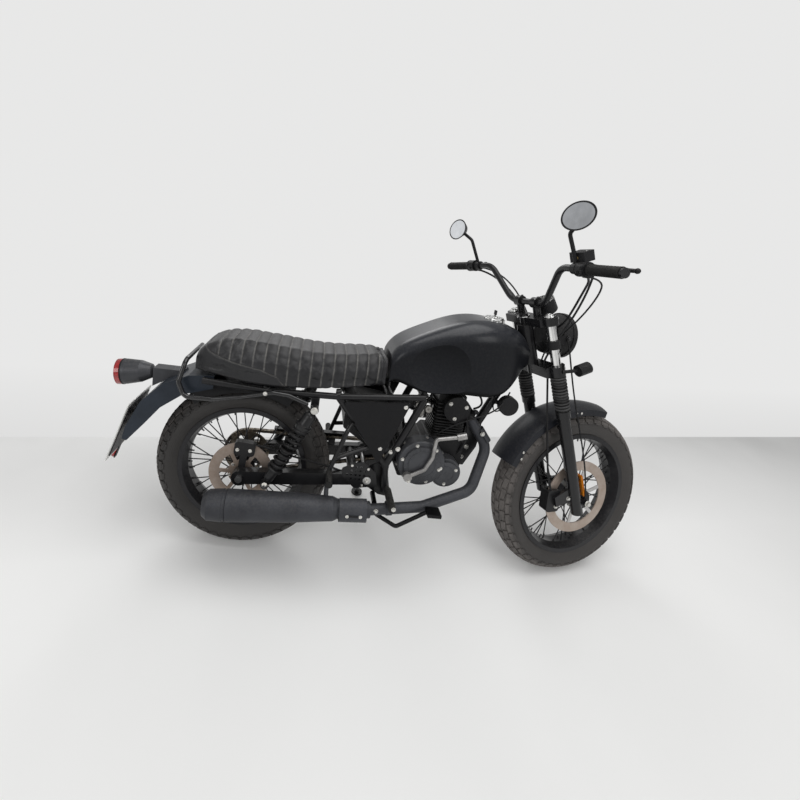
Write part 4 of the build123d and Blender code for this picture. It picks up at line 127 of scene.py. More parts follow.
class Finish:
    """A material in the making: every node comes from one method."""

    def __init__(self, name, **constants):
        self.material = bpy.data.materials.new(name)
        self.material.use_nodes = True
        self.tree = self.material.node_tree
        self.shader = self.tree.nodes["Principled BSDF"]
        for key, value in constants.items():
            self.give(self.shader.inputs[key.replace("_", " ").title().replace("Ior", "IOR")], value)

    def give(self, socket, value):
        if isinstance(value, Value):
            self.tree.links.new(value.socket, socket)
        elif socket.type == "RGBA" and len(value) == 3:
            socket.default_value = (*value, 1)
        else:
            socket.default_value = value

    def node(self, kind, settings=None, inputs=None, output=0):
        made = self.tree.nodes.new(kind)
        for key, value in (settings or {}).items():
            setattr(made, key, value)
        for key, value in (inputs or {}).items():
            self.give(made.inputs[key], value)
        return Value(self, made.outputs[output])

    def set(self, **values):
        for key, value in values.items():
            self.give(self.shader.inputs[key.replace("_", " ").title()], value)

    def spot(self, place=None):
        """Object coordinates, centred and turned by a place."""
        spot = self.node("ShaderNodeTexCoord", output="Object")
        if place is not None:
            centre, turn, _ = place.decompose()
            euler = turn.to_euler("XYZ")
            spot = self.node(
                "ShaderNodeMapping", {"vector_type": "TEXTURE"},
                {"Vector": spot, "Location": centre, "Rotation": euler, "Scale": (1, 1, 1)},
            )
        return spot

    def axes(self, place=None):
        """The x, y and z of a place, in metres."""
        parts = self.tree.nodes.new("ShaderNodeSeparateXYZ")
        self.give(parts.inputs[0], self.spot(place))
        return [Value(self, parts.outputs[k]) for k in range(3)]

    def across(self, first, second):
        """The length of the two legs of a right angle."""
        squares = first * first + second * second
        return squares.math("SQRT", squares)

    def noise(self, scale, detail, roughness=0.55, spot=None):
        inputs = {"Scale": scale, "Detail": detail, "Roughness": roughness}
        inputs["Vector"] = spot or self.spot()
        return self.node("ShaderNodeTexNoise", {}, inputs)

    def cells(self, scale):
        return self.node("ShaderNodeTexVoronoi", {}, {"Scale": scale, "Vector": self.spot()})

    def blend(self, factor, first, second):
        return self.node(
            "ShaderNodeMix", {"data_type": "RGBA"}, {0: factor, 6: first, 7: second}, output=2
        )

    def bump(self, height, strength, distance):
        return self.node(
            "ShaderNodeBump", {}, {"Strength": strength, "Distance": distance, "Height": height}
        )

    def upward(self):
        """How far a face looks up, from -1 to 1."""
        parts = self.tree.nodes.new("ShaderNodeSeparateXYZ")
        self.give(parts.inputs[0], self.node("ShaderNodeNewGeometry", output="Normal"))
        return Value(self, parts.outputs[2])


# Dust, how strongly metal and paint mirror, and the scale, spread and height of uneven colour
DUST = (0.30, 0.28, 0.25)
METAL_LEVEL, PAINT_LEVEL = 0.5, 0.2
PATCH, SPECKS, SPREAD, GRAIN_HEIGHT = 9, 126, 0.25, 0.0006


def shade(colour, share):
    return tuple(min(1, c * share) for c in colour)


def worn(name, colour, rough, metal, coat, grain, depth, dust, cell):
    """A finish with uneven colour, a fine grain, dust on what looks up and uneven gloss."""
    level = METAL_LEVEL if metal > 0.5 else PAINT_LEVEL
    finish = Finish(
        name, metallic=metal, coat_weight=coat, coat_roughness=0.18, specular_ior_level=level,
    )
    cloud = finish.noise(PATCH, 5, 0.6)
    fine = finish.cells(grain) if cell else finish.noise(grain, 2)
    body = finish.blend(cloud.ramp(0.3, 0.7), shade(colour, 1 - SPREAD), shade(colour, 1 + SPREAD))
    specks = finish.noise(SPECKS, 6, 0.75).ramp(0.42, 0.75)
    settled = (finish.upward().ramp(0.2, 1.0) * 0.85 + 0.15) * specks * dust
    body = finish.blend(settled, body, DUST)
    gloss = rough + (cloud - 0.5) * 0.16 + settled * 0.5
    finish.set(base_color=body, roughness=gloss.at_least(0.03).at_most(1.0))
    finish.set(normal=finish.bump(fine, depth, GRAIN_HEIGHT))


# Mesh tools
def to_mesh(shape):
    """A temporary mesh of a bmesh, which is freed."""
    mesh = bpy.data.meshes.new("part")
    shape.to_mesh(mesh)
    shape.free()
    return mesh


def facing(point, axis):
    """A place at a point whose own z looks along an axis."""
    turn = Vector(axis).to_track_quat("Z", "Y").to_matrix().to_4x4()
    return Matrix.Translation(Vector(point)) @ turn


def turned(profile, steps=32):
    """A body turned about z from (radius, z) points."""
    shape = bmesh.new()
    spots = [shape.verts.new((r, 0, z)) for r, z in profile]
    edges = [shape.edges.new(pair) for pair in zip(spots, spots[1:])]
    bmesh.ops.spin(
        shape, geom=spots + edges, cent=(0, 0, 0), axis=(0, 0, 1), dvec=(0, 0, 0),
        angle=tau, steps=steps, use_merge=True,
    )
    bmesh.ops.remove_doubles(shape, verts=shape.verts, dist=0.0005)
    bmesh.ops.recalc_face_normals(shape, faces=shape.faces)
    return to_mesh(shape)


def pipe(inner, outer, low, high, steps):
    """A round band with square edges."""
    return turned([(inner, low), (outer, low), (outer, high), (inner, high), (inner, low)], steps)


def block(size, bevel=0.0, segments=1):
    """A box with broken edges."""
    shape = bmesh.new()
    bmesh.ops.create_cube(shape, size=1, matrix=Matrix.Diagonal((*size, 1)))
    if bevel:
        bmesh.ops.bevel(
            shape, geom=shape.edges, offset=bevel, segments=segments, affect="EDGES",
            profile=0.5, material=-1,
        )
    return to_mesh(shape)


def hexagon(radius, height):
    """A six-sided head on a washer."""
    shape = bmesh.new()
    bmesh.ops.create_cone(
        shape, cap_ends=True, segments=6, radius1=radius, radius2=radius, depth=height,
        matrix=Matrix.Translation((0, 0, height / 2 + 1)),
    )
    bmesh.ops.bevel(
        shape, geom=[e for e in shape.edges if all(v.co.z > height for v in e.verts)],
        offset=radius * 0.12, segments=1, affect="EDGES", profile=0.5, material=-1,
    )
    bmesh.ops.create_cone(
        shape, cap_ends=True, segments=16, radius1=radius * 1.35, radius2=radius * 1.3, depth=1,
        matrix=Matrix.Translation((0, 0, 0.5)),
    )
    return to_mesh(shape)


def socket_head(radius, height):
    """A round head with a six-sided socket."""
    shape = bmesh.new()
    bmesh.ops.create_circle(shape, cap_ends=False, segments=18, radius=radius)
    edges = list(shape.edges)
    for rise, share in ((height * 0.85, 1), (height * 0.15, 0.86), (0, 0.6), (-height * 0.5, 0.55)):
        grown = bmesh.ops.extrude_edge_only(shape, edges=edges)["geom"]
        spots = [g for g in grown if isinstance(g, bmesh.types.BMVert)]
        edges = [g for g in grown if isinstance(g, bmesh.types.BMEdge)]
        old = sqrt(spots[0].co.x ** 2 + spots[0].co.y ** 2)
        bmesh.ops.scale(shape, vec=(share * radius / old, share * radius / old, 1), verts=spots)
        bmesh.ops.translate(shape, vec=(0, 0, rise), verts=spots)
    bmesh.ops.contextual_create(shape, geom=edges)
    bmesh.ops.recalc_face_normals(shape, faces=shape.faces)
    return to_mesh(shape)


def drawn(curve):
    """The mesh of a curve, which is removed."""
    holder = bpy.data.objects.new("line", curve)
    bpy.context.scene.collection.objects.link(holder)
    bpy.context.view_layer.update()
    made = bpy.data.meshes.new_from_object(
        holder.evaluated_get(bpy.context.evaluated_depsgraph_get())
    )
    bpy.data.objects.remove(holder)
    bpy.data.curves.remove(curve)
    return made


def tube(points, radius, rings):
    """A tube along one smooth line of points."""
    curve = bpy.data.curves.new("line", "CURVE")
    curve.dimensions, curve.bevel_depth, curve.use_fill_caps = "3D", radius, True
    curve.bevel_resolution, curve.resolution_u = 2, rings
    spline = curve.splines.new("NURBS")
    spline.points.add(len(points) - 1)
    for spot, point in zip(spline.points, points):
        spot.co = (*point, 1)
    spline.order_u, spline.use_endpoint_u = 3, True
    return drawn(curve)


def words(text, size):
    """Plain raised figures, as a mesh."""
    curve = bpy.data.curves.new("figures", "FONT")
    curve.body, curve.size, curve.extrude = text, size, 0.15
    curve.align_x, curve.align_y, curve.resolution_u = "CENTER", "CENTER", 3
    return drawn(curve)


class Piece:
    """A piece that grows from stamped parts, in millimetres of one place."""

    def __init__(self, place):
        self.place, self.shape = place, bmesh.new()

    def stamp(self, part, at=None):
        """Add a copy of a part at a place."""
        copy = part.copy()
        if at is not None:
            copy.transform(at)
            if at.determinant() < 0:
                copy.flip_normals()
        self.shape.from_mesh(copy)
        bpy.data.meshes.remove(copy)
        return self

    def done(self, name, body, finish, slot, replaces=(), smooth=SMOOTH):
        """Make the piece an object that rides on a body."""
        self.shape.transform(self.place)
        bmesh.ops.recalc_face_normals(self.shape, faces=self.shape.faces)
        for face in self.shape.faces:
            face.smooth = True
        for edge in self.shape.edges:
            edge.smooth = edge.calc_face_angle(0) < smooth
        mesh = bpy.data.meshes.new(name)
        self.shape.to_mesh(mesh)
        self.shape.free()
        made = bpy.data.objects.new(name, mesh)
        bpy.context.scene.collection.objects.link(made)
        mesh.materials.append(bpy.data.materials[finish])
        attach(made, body)
        if replaces:
            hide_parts(*replaces)


def surface(names, place):
    """What a ray meets of some CAD nodes, in millimetres of a place."""
    spots, faces = [], []
    back = place.inverted()
    for name in names:
        mesh = nodes[name].data
        mesh.calc_loop_triangles()
        start = len(spots)
        spots += [back @ v.co for v in mesh.vertices]
        faces += [[start + k for k in tri.vertices] for tri in mesh.loop_triangles]
    return BVHTree.FromPolygons(spots, faces)


def landing(tree, start, aim):
    """The place on a surface that a ray meets, with its z towards the ray's start."""
    hit = tree.ray_cast(Vector(start), Vector(aim).normalized())[0]
    if hit is None:
        raise ValueError("nothing under the ray from %s along %s" % (start, aim))
    return facing(hit, -Vector(aim))


# Sizes and colours
class ScramblerLooks(PropertyGroup):
    tread_count: IntProperty(
        name="Tread pitches", description="Rows of tread blocks around a tyre", default=46, min=20,
    )
    tread_depth: FloatProperty(
        name="Tread depth", description="Height of the tread blocks in millimetres", default=5.5,
    )
    channel_pitch: FloatProperty(
        name="Seat channel pitch", description="Distance between sewn channels in millimetres",
        default=38,
    )
    channel_depth: FloatProperty(
        name="Seat channel depth", description="Depth of the sewn channels in millimetres", default=5,
    )
    coil_turns: IntProperty(
        name="Coil turns", description="Turns of each shock absorber's coil", default=8, min=3,
    )
    tank_colour: FloatVectorProperty(
        name="Tank", description="Colour of the tank and its panels", subtype="COLOR", size=3,
        default=(0.011, 0.012, 0.015), min=0, max=1,
    )
    exhaust_colour: FloatVectorProperty(
        name="Exhaust", description="Colour of the muffler", subtype="COLOR", size=3,
        default=(0.052, 0.054, 0.061), min=0, max=1,
    )
    tyre_colour: FloatVectorProperty(
        name="Tyres", description="Colour of the dusty rubber", subtype="COLOR", size=3,
        default=(0.052, 0.047, 0.044), min=0, max=1,
    )
    floor_colour: FloatVectorProperty(
        name="Floor", description="Colour of the pale floor", subtype="COLOR", size=3,
        default=(0.94, 0.94, 0.93), min=0, max=1,
    )


def looks():
    return bpy.context.scene.scrambler


# Finishes
# slot: colour, roughness, metal, coat, grain, depth, dust
PLAIN_FINISHES = {
    "frame_black": ((0.010, 0.010, 0.011), 0.30, 0, 0.22, 520, 0.10, 0.10),
    "control_black": ((0.011, 0.011, 0.012), 0.44, 0, 0.0, 900, 0.30, 0.12),
    "cover_black": ((0.005, 0.005, 0.006), 0.40, 0, 0.04, 1100, 0.25, 0.08),
    "fender_black": ((0.013, 0.014, 0.018), 0.40, 0, 0.08, 800, 0.10, 0.10),
    "rim_black": ((0.012, 0.012, 0.014), 0.32, 0.1, 0.2, 420, 0.10, 0.16),
    "spoke_steel": ((0.030, 0.030, 0.032), 0.36, 0.7, 0.0, 600, 0.10, 0.15),
    "fork_grey": ((0.008, 0.008, 0.009), 0.24, 0.1, 0.45, 480, 0.10, 0.08),
    "grip_rubber": ((0.012, 0.012, 0.012), 0.60, 0, 0.0, 800, 0.20, 0.22),
    "caliper_black": ((0.012, 0.012, 0.013), 0.36, 0.1, 0.1, 380, 0.35, 0.16),
    "engine_dark": ((0.011, 0.011, 0.012), 0.40, 0.25, 0.0, 340, 0.45, 0.22),
    "case_cover": ((0.062, 0.064, 0.070), 0.38, 0.35, 0.08, 420, 0.25, 0.16),
    "bright_metal": ((0.60, 0.60, 0.59), 0.30, 1.0, 0.0, 260, 0.15, 0.22),
    "chrome": ((0.78, 0.78, 0.77), 0.14, 1.0, 0.0, 90, 0.05, 0.12),
    "tail_paint": ((0.020, 0.026, 0.036), 0.38, 0.15, 0.12, 1400, 0.08, 0.08),
    "exhaust_dark": ((0.052, 0.054, 0.061), 0.48, 0.35, 0.0, 520, 0.18, 0.16),
    "rail_gloss": ((0.006, 0.006, 0.007), 0.10, 0, 1.0, 300, 0.03, 0.06),
    "plate_white": ((0.72, 0.72, 0.70), 0.35, 0, 0.2, 1500, 0.12, 0.25),
    "seat_cover": ((0.030, 0.030, 0.032), 0.44, 0, 0.1, 900, 0.3, 0.2),
    "mirror_silver": ((0.70, 0.72, 0.75), 0.05, 1.0, 0.0, 40, 0.02, 0.10),
    "dial_white": ((0.75, 0.75, 0.72), 0.5, 0, 0.0, 500, 0.05, 0.0),
    "needle_red": ((0.62, 0.05, 0.02), 0.4, 0, 0.0, 500, 0.05, 0.0),
    "bolt_zinc": ((0.66, 0.65, 0.62), 0.26, 1.0, 0.0, 600, 0.15, 0.12),
    "bolt_dark": ((0.060, 0.060, 0.062), 0.38, 0.7, 0.0, 600, 0.15, 0.20),
    "cable_black": ((0.009, 0.009, 0.010), 0.42, 0, 0.05, 900, 0.10, 0.12),
    "carburettor_alloy": ((0.34, 0.33, 0.31), 0.45, 0.85, 0.0, 300, 0.40, 0.30),
    "brass": ((0.55, 0.40, 0.16), 0.32, 1.0, 0.0, 400, 0.10, 0.10),
}
GRAINED = ("control_black", "cover_black", "seat_cover")


def wheel_finish(name, wheel):
    """A finish that follows a wheel, and the distance from the axle."""
    finish = Finish(name)
    x, _, z = finish.axes(WHEELS[wheel])
    return finish, finish.across(x, z)


def tyre_rubber(wheel, colour):
    """Dusty blocks over a darker, smooth wall with moulded rings."""
    finish, radius = wheel_finish(wheel + "_tyre", wheel)
    cloud = finish.noise(7, 5, 0.65)
    fine = finish.noise(260, 3, 0.7)
    tread = radius.ramp(0.284, 0.300)
    rub = finish.noise(30, 6, 0.75).ramp(0.38, 0.7)
    wall = finish.blend(cloud.ramp(0.3, 0.7), shade(colour, 0.55), shade(colour, 0.85))
    crown = finish.blend(cloud.ramp(0.32, 0.68), shade(colour, 0.9), shade(colour, 2.3))
    body = finish.blend(tread, wall, crown)
    body = finish.blend(rub * tread * 0.5, body, shade(colour, 3.7))
    rings = radius.wave(160).power(6.0) * (1 - tread) * 0.5
    finish.set(base_color=body, roughness=0.62 + (cloud - 0.5) * 0.2 + tread * 0.12)
    finish.set(normal=finish.bump(fine + rings, 0.35, 0.0012))


def front_disc_steel():
    """A brownish brake track, brushed round the axle, on a brighter carrier."""
    finish, radius = wheel_finish("front_disc", "front")
    cloud = finish.noise(18, 5, 0.7)
    rings = finish.noise(900, 1, 0.5, spot=finish.node(
        "ShaderNodeCombineXYZ", {}, {0: radius, 1: 0.0, 2: 0.0}))
    track = radius.ramp(0.104, 0.106)
    rust = finish.blend(cloud.ramp(0.3, 0.75), (0.46, 0.40, 0.35), (0.30, 0.22, 0.17))
    silver = finish.blend(cloud.ramp(0.3, 0.7), (0.62, 0.61, 0.60), (0.46, 0.45, 0.44))
    body = finish.blend(track, silver, rust)
    body = finish.blend(rings.ramp(0.35, 0.8) * track * 0.5, body, (0.60, 0.52, 0.46))
    finish.set(base_color=body, metallic=0.55 + track * 0.1, roughness=0.40 + (rings - 0.5) * 0.25)
    finish.set(normal=finish.bump(rings, 0.12, 0.0004))


def rear_disc_steel():
    """The same track without a bright carrier."""
    finish, radius = wheel_finish("rear_disc", "rear")
    cloud = finish.noise(18, 5, 0.7)
    body = finish.blend(cloud.ramp(0.3, 0.75), (0.36, 0.30, 0.26), (0.22, 0.16, 0.12))
    finish.set(base_color=body, metallic=0.6 + cloud * 0.1, roughness=0.36 + cloud * 0.15)
    finish.set(normal=finish.bump(radius.wave(700), 0.12, 0.0004))


def chain_finish():
    """Oiled links with patches of dark grease."""
    finish = Finish("chain_steel", metallic=0.9)
    cloud = finish.noise(60, 5, 0.7)
    grease = finish.noise(25, 4, 0.6).ramp(0.4, 0.65)
    body = finish.blend(cloud.ramp(0.3, 0.75), (0.30, 0.27, 0.22), (0.16, 0.12, 0.09))
    finish.set(base_color=finish.blend(grease, body, (0.035, 0.030, 0.025)))
    finish.set(roughness=0.35 + grease * 0.25)
    finish.set(normal=finish.bump(finish.noise(500, 3), 0.25, 0.0005))


def lens_finish(name, colour, rib, dark):
    """A moulded lens: small prisms under a clear skin."""
    finish = Finish(name, roughness=0.14, coat_weight=1.0, coat_roughness=0.03)
    prism = finish.cells(rib)
    glow = finish.noise(14, 3, 0.5)
    body = finish.blend(prism.ramp(0.15, 0.6), shade(colour, 1.25), shade(colour, dark))
    finish.set(base_color=finish.blend(glow.ramp(0.35, 0.7), body, shade(colour, 0.7)))
    finish.set(normal=finish.bump(prism, 0.35, 0.001))


def headlamp_glass():
    """Clear fluted glass over a bright bowl with a dark bulb shield."""
    finish = Finish("clear_lens", coat_weight=1.0, coat_roughness=0.02, metallic=0.75)
    _, y, z = finish.axes(FORK @ LAMP)
    radius = finish.across(y, z)
    flutes = y.wave(95)
    # painted reflection: the bowl is lighter towards its middle, and the flutes carry light stripes
    bowl = finish.blend(radius.ramp(0.018, 0.074), (0.86, 0.88, 0.90), (0.40, 0.42, 0.45))
    bowl = finish.blend(flutes.power(3.0) * 0.45, bowl, (0.95, 0.96, 0.97))
    body = finish.blend(1 - radius.ramp(0.013, 0.016), bowl, (0.16, 0.16, 0.17))
    finish.set(base_color=body, roughness=0.10 + flutes * 0.08)
    finish.set(normal=finish.bump(flutes, 0.5, 0.0015))


def tank_paint(colour):
    """Satin black that is glossier on top, with painted light that makes it greyer on top and painted
    shade that makes it nearly black below.
    """
    finish = Finish("tank_paint", coat_roughness=0.22, specular_ior_level=0.08)
    above = finish.upward().ramp(-0.25, 0.85)
    cloud = finish.noise(9, 5, 0.6)
    dust = finish.noise(120, 6, 0.75).ramp(0.42, 0.75) * above * 0.07
    # painted light and shade: the colour is greyer on what faces up and nearly black on what faces down
    body = finish.blend(above, shade(colour, 0.2), shade(colour, 1.8))
    finish.set(base_color=finish.blend(dust, body, DUST))
    finish.set(coat_weight=above.power(1.5) * 0.7, roughness=0.36 + (cloud - 0.5) * 0.14)
    finish.set(normal=finish.bump(finish.noise(1400, 2), 0.05, 0.0006))


def seat_vinyl():
    """Grained vinyl that is dusty in its sewn channels."""
    finish = Finish("seat_vinyl", coat_weight=0.10, coat_roughness=0.3, specular_ior_level=0.35)
    seam = finish.node("ShaderNodeAttribute", {"attribute_name": "channel"}, output="Fac")
    cloud = finish.noise(8, 5, 0.65)
    grain = finish.cells(620)
    crease = finish.noise(45, 6, 0.7)
    body = finish.blend(cloud.ramp(0.3, 0.7), (0.008, 0.008, 0.009), (0.018, 0.018, 0.020))
    top = finish.upward().ramp(0.35, 1.0)
    body = finish.blend(top * crease.ramp(0.35, 0.75) * 0.12, body, (0.20, 0.19, 0.18))
    body = finish.blend(seam * crease.ramp(0.25, 0.6) * 0.55, body, (0.27, 0.26, 0.24))
    finish.set(base_color=body, roughness=0.43 + (cloud - 0.5) * 0.15 + seam * 0.2)
    finish.set(normal=finish.bump(grain * 0.5 + crease * 0.5, 0.30, 0.0010))


# the ribs of a fork boot, its length and the start of the first rib, in metres
RIBS, BOOT_LENGTH, RIB_START = 10, 0.107, 0.0020


def ribbed_rubber():
    """Bellows along the fork: ribs lighter with painted highlight and dust, grooves nearly black with
    painted shade.
    """
    finish = Finish("boot_rubber", specular_ior_level=0.25)
    _, _, z = finish.axes(FORK)
    rib = (z + RIB_START).wave(RIBS / BOOT_LENGTH).power(1.6)
    cloud = finish.noise(60, 5, 0.7)
    # painted shade in the grooves and painted highlight on the ribs
    body = finish.blend(rib, (0.006, 0.006, 0.006), (0.060, 0.060, 0.062))
    # dust on the ribs
    body = finish.blend(cloud.ramp(0.35, 0.75) * rib * 0.35, body, (0.16, 0.155, 0.145))
    finish.set(base_color=body, roughness=0.55 + cloud * 0.15, normal=finish.bump(rib, 0.2, 0.001))


# heights between which the black pedals end and the kick lever starts, in metres
KICK_HEIGHT = (0.362, 0.372)


def pedal_steel():
    """A bright worn kick lever over black pedals."""
    finish = Finish("pedal_steel", metallic=0.8)
    _, _, z = finish.axes(BIKE)
    kick = z.ramp(*KICK_HEIGHT)
    cloud = finish.noise(40, 5, 0.7)
    bright = finish.blend(cloud.ramp(0.3, 0.7), (0.42, 0.41, 0.40), (0.24, 0.235, 0.23))
    finish.set(base_color=finish.blend(kick, (0.012, 0.012, 0.013), bright))
    finish.set(roughness=0.34 + (cloud - 0.5) * 0.25, normal=finish.bump(cloud, 0.2, 0.0006))


# carried parts whose finish is not their slot's own
SPECIAL = {
    "front_tyre": "front_tyre", "rear_tyre": "rear_tyre", "front_brake_disc": "front_disc",
    "rear_brake_disc": "rear_disc", "seat": "seat_vinyl", "rear_sprocket": "chain_steel",
    "grab_rail": "rail_gloss", "foot_controls": "pedal_steel",
}
# the rear tyre's colour is darkened by this share as painted shade, with a little less dust on its crown
REAR_TYRE_SHADE = 0.62


class MakeFinishes(Operator):
    """Make every finish and give each carried part its own"""
    bl_idname = "scrambler.finishes"
    bl_label = "Finishes"

    def execute(self, context):
        for slot, (colour, rough, metal, coat, grain, depth, dust) in PLAIN_FINISHES.items():
            if slot == "exhaust_dark":
                colour = tuple(looks().exhaust_colour)
            worn(slot, colour, rough, metal, coat, grain, depth, dust, slot in GRAINED)
        tank_paint(tuple(looks().tank_colour))
        lens_finish("red_lens", (0.45, 0.010, 0.012), 170, 0.45)
        lens_finish("amber", (0.90, 0.27, 0.015), 210, 0.65)
        headlamp_glass()
        seat_vinyl()
        chain_finish()
        ribbed_rubber()
        pedal_steel()
        tyre_rubber("front", shade(looks().tyre_colour, 1))
        # the rear tyre is darker as painted shade
        tyre_rubber("rear", shade(looks().tyre_colour, REAR_TYRE_SHADE))
        front_disc_steel()
        rear_disc_steel()
        for name, part in nodes.items():
            finish = SPECIAL.get(name, slots[name])
            for holder in part.material_slots:
                holder.material = bpy.data.materials[finish]
        return {"FINISHED"}


# Stage
# where the pale wall meets the floor: x and y shares and distance from the origin
WALL_LINE = (-0.1706, 0.9853, 0.5428)
WALL_TONE = (0.806, 0.806, 0.802)
FLOOR_SIZE, ROOM_LIGHT = 60, 0.42
# the camera's turn, focal length, shift and place
YAW, TILT, ROLL = radians(5), radians(19.8), radians(8.9)
SENSOR, LENS, SHIFT = 36, 19.836, (0.0621, -0.1002)
CAMERA_PLACE = (-0.36006, -1.49126, 1.4055)
# name, place, aim, power and size
LAMPS = (
    ("over", (0.2, -0.3, 3.4), (0, 0, 0.5), 46, 2.6),
    ("front", (1.9, -3.0, 2.5), (0, 0, 0.6), 26, 1.8),
    ("side", (-2.4, -2.6, 2.2), (-0.2, 0, 0.5), 20, 1.6),
    ("behind", (-0.6, 3.2, 2.6), (0, 0, 0.6), 26, 2.0),
)


class MakeStage(Operator):
    """Lay the pale floor, hang the lights and aim the camera"""
    bl_idname = "scrambler.stage"
    bl_label = "Stage"

    def execute(self, context):
        scene = context.scene
        scene.view_settings.view_transform = "Standard"
        self.lay_floor(scene)
        self.paint_room(scene)
        self.hang_lights(scene)
        self.aim_camera(scene)
        return {"FINISHED"}

    def lay_floor(self, scene):
        """A floor that takes shadows and that the camera sees as a pale wall far off."""
        shape = bmesh.new()
        bmesh.ops.create_grid(shape, x_segments=1, y_segments=1, size=FLOOR_SIZE)
        mesh = bpy.data.meshes.new("floor")
        shape.to_mesh(mesh)
        shape.free()
        ground = bpy.data.objects.new("floor", mesh)
        scene.collection.objects.link(ground)
        mesh.materials.append(self.floor_finish())

    def floor_finish(self):
        finish = Finish("floor_paint", roughness=0.7)
        tone = finish.noise(0.7, 4, 0.5)
        colour = tuple(looks().floor_colour)
        tree = finish.tree
        x, y, _ = finish.axes()
        beyond = x * WALL_LINE[0] + y * WALL_LINE[1] - WALL_LINE[2]
        away = beyond.ramp(-0.004, 0.004).at_least(finish.across(x, y).ramp(3.5, 9.0))
        # painted shade: the floor darkens towards the foot of the wall
        near = finish.blend(beyond.ramp(-0.7, 0.0), colour, shade(colour, 0.66))
        finish.set(base_color=finish.blend(tone.ramp(0.3, 0.7), near, shade(colour, 0.95)))
        rays = tree.nodes.new("ShaderNodeLightPath")
        seen = Value(finish, rays.outputs["Is Camera Ray"])
        seen = seen.at_least(Value(finish, rays.outputs["Is Glossy Ray"]))
        # painted shade: the wall's tone is darker near its foot
        glow = finish.node("ShaderNodeEmission", {}, {
            "Color": finish.blend(beyond.ramp(0, 0.7), shade(WALL_TONE, 0.91), WALL_TONE),
            "Strength": 1.0,
        })
        mixed = finish.node(
            "ShaderNodeMixShader", {},
            {0: away * seen, 1: Value(finish, finish.shader.outputs[0]), 2: glow},
        )
        finish.give(tree.nodes["Material Output"].inputs["Surface"], mixed)
        return finish.material

    def paint_room(self, scene):
        """White light from all round, and the wall's own tone for the camera."""
        world = bpy.data.worlds.new("room")
        scene.world = world
        world.use_nodes = True
        room = world.node_tree
        backing = room.nodes["Background"]
        backing.inputs["Color"].default_value = (1, 1, 1, 1)
        backing.inputs["Strength"].default_value = ROOM_LIGHT
        wall = room.nodes.new("ShaderNodeBackground")
        wall.inputs["Color"].default_value = (*WALL_TONE, 1)
        wall.inputs["Strength"].default_value = 1.0
        paths = room.nodes.new("ShaderNodeLightPath")
        mix = room.nodes.new("ShaderNodeMixShader")
        room.links.new(paths.outputs["Is Camera Ray"], mix.inputs[0])
        room.links.new(backing.outputs[0], mix.inputs[1])
        room.links.new(wall.outputs[0], mix.inputs[2])
        room.links.new(mix.outputs[0], room.nodes["World Output"].inputs["Surface"])

    def hang_lights(self, scene):
        for name, spot, aim, power, size in LAMPS:
            data = bpy.data.lights.new(name, "AREA")
            data.energy, data.size = power, size
            lamp = bpy.data.objects.new(name, data)
            scene.collection.objects.link(lamp)
            turn = (Vector(aim) - Vector(spot)).to_track_quat("-Z", "Y").to_matrix().to_4x4()
            lamp.matrix_world = Matrix.Translation(spot) @ turn

    def aim_camera(self, scene):
        """The photograph's viewpoint: above the right side, tilted a little."""
        ahead = Vector((sin(YAW) * cos(TILT), cos(YAW) * cos(TILT), -sin(TILT)))
        right = Vector((cos(YAW), -sin(YAW), 0))
        up = right.cross(ahead)
        turned_right = right * cos(ROLL) + up * sin(ROLL)
        turned_up = up * cos(ROLL) - right * sin(ROLL)
        turn = Matrix((turned_right, turned_up, -ahead)).transposed().to_4x4()
        data = bpy.data.cameras.new("camera")
        data.sensor_width, data.lens = SENSOR, LENS
        data.shift_x, data.shift_y = SHIFT
        data.clip_start = 0.05
        camera = bpy.data.objects.new("camera", data)
        scene.collection.objects.link(camera)
        camera.matrix_world = Matrix.Translation(CAMERA_PLACE) @ turn
        scene.camera = camera


# Tyres
# start in shares of a pitch, angle on the crown, length in shares of a pitch,
# width in millimetres on a crown of 66 mm, and twist
TREAD_CROWN = 66
TREAD_ROWS = (
    (0.0, -10, 0.80, 19, 8), (0.5, 10, 0.80, 19, -8),
    (0.25, 31, 0.84, 19, -6), (0.75, -31, 0.84, 19, 6),
    (0.5, 51, 0.80, 17, 0), (0.0, -51, 0.80, 17, 0),
    (0.5, 61.5, 0.52, 9, 0), (0.0, -61.5, 0.52, 9, 0),
)
TYRES = {
    # radius, half width, crown radius, bead radius, rim half width
    "front": (322, 55, 62, 230, 46), "rear": (314, 63, 72, 217, 52),
}
TREAD_EDGE = radians(56)


def bend(share, first, middle, last):
    """A value on the curve from first to last that leans towards the middle one."""
    rest = 1 - share
    return rest ** 2 * first + 2 * share * rest * middle + share ** 2 * last


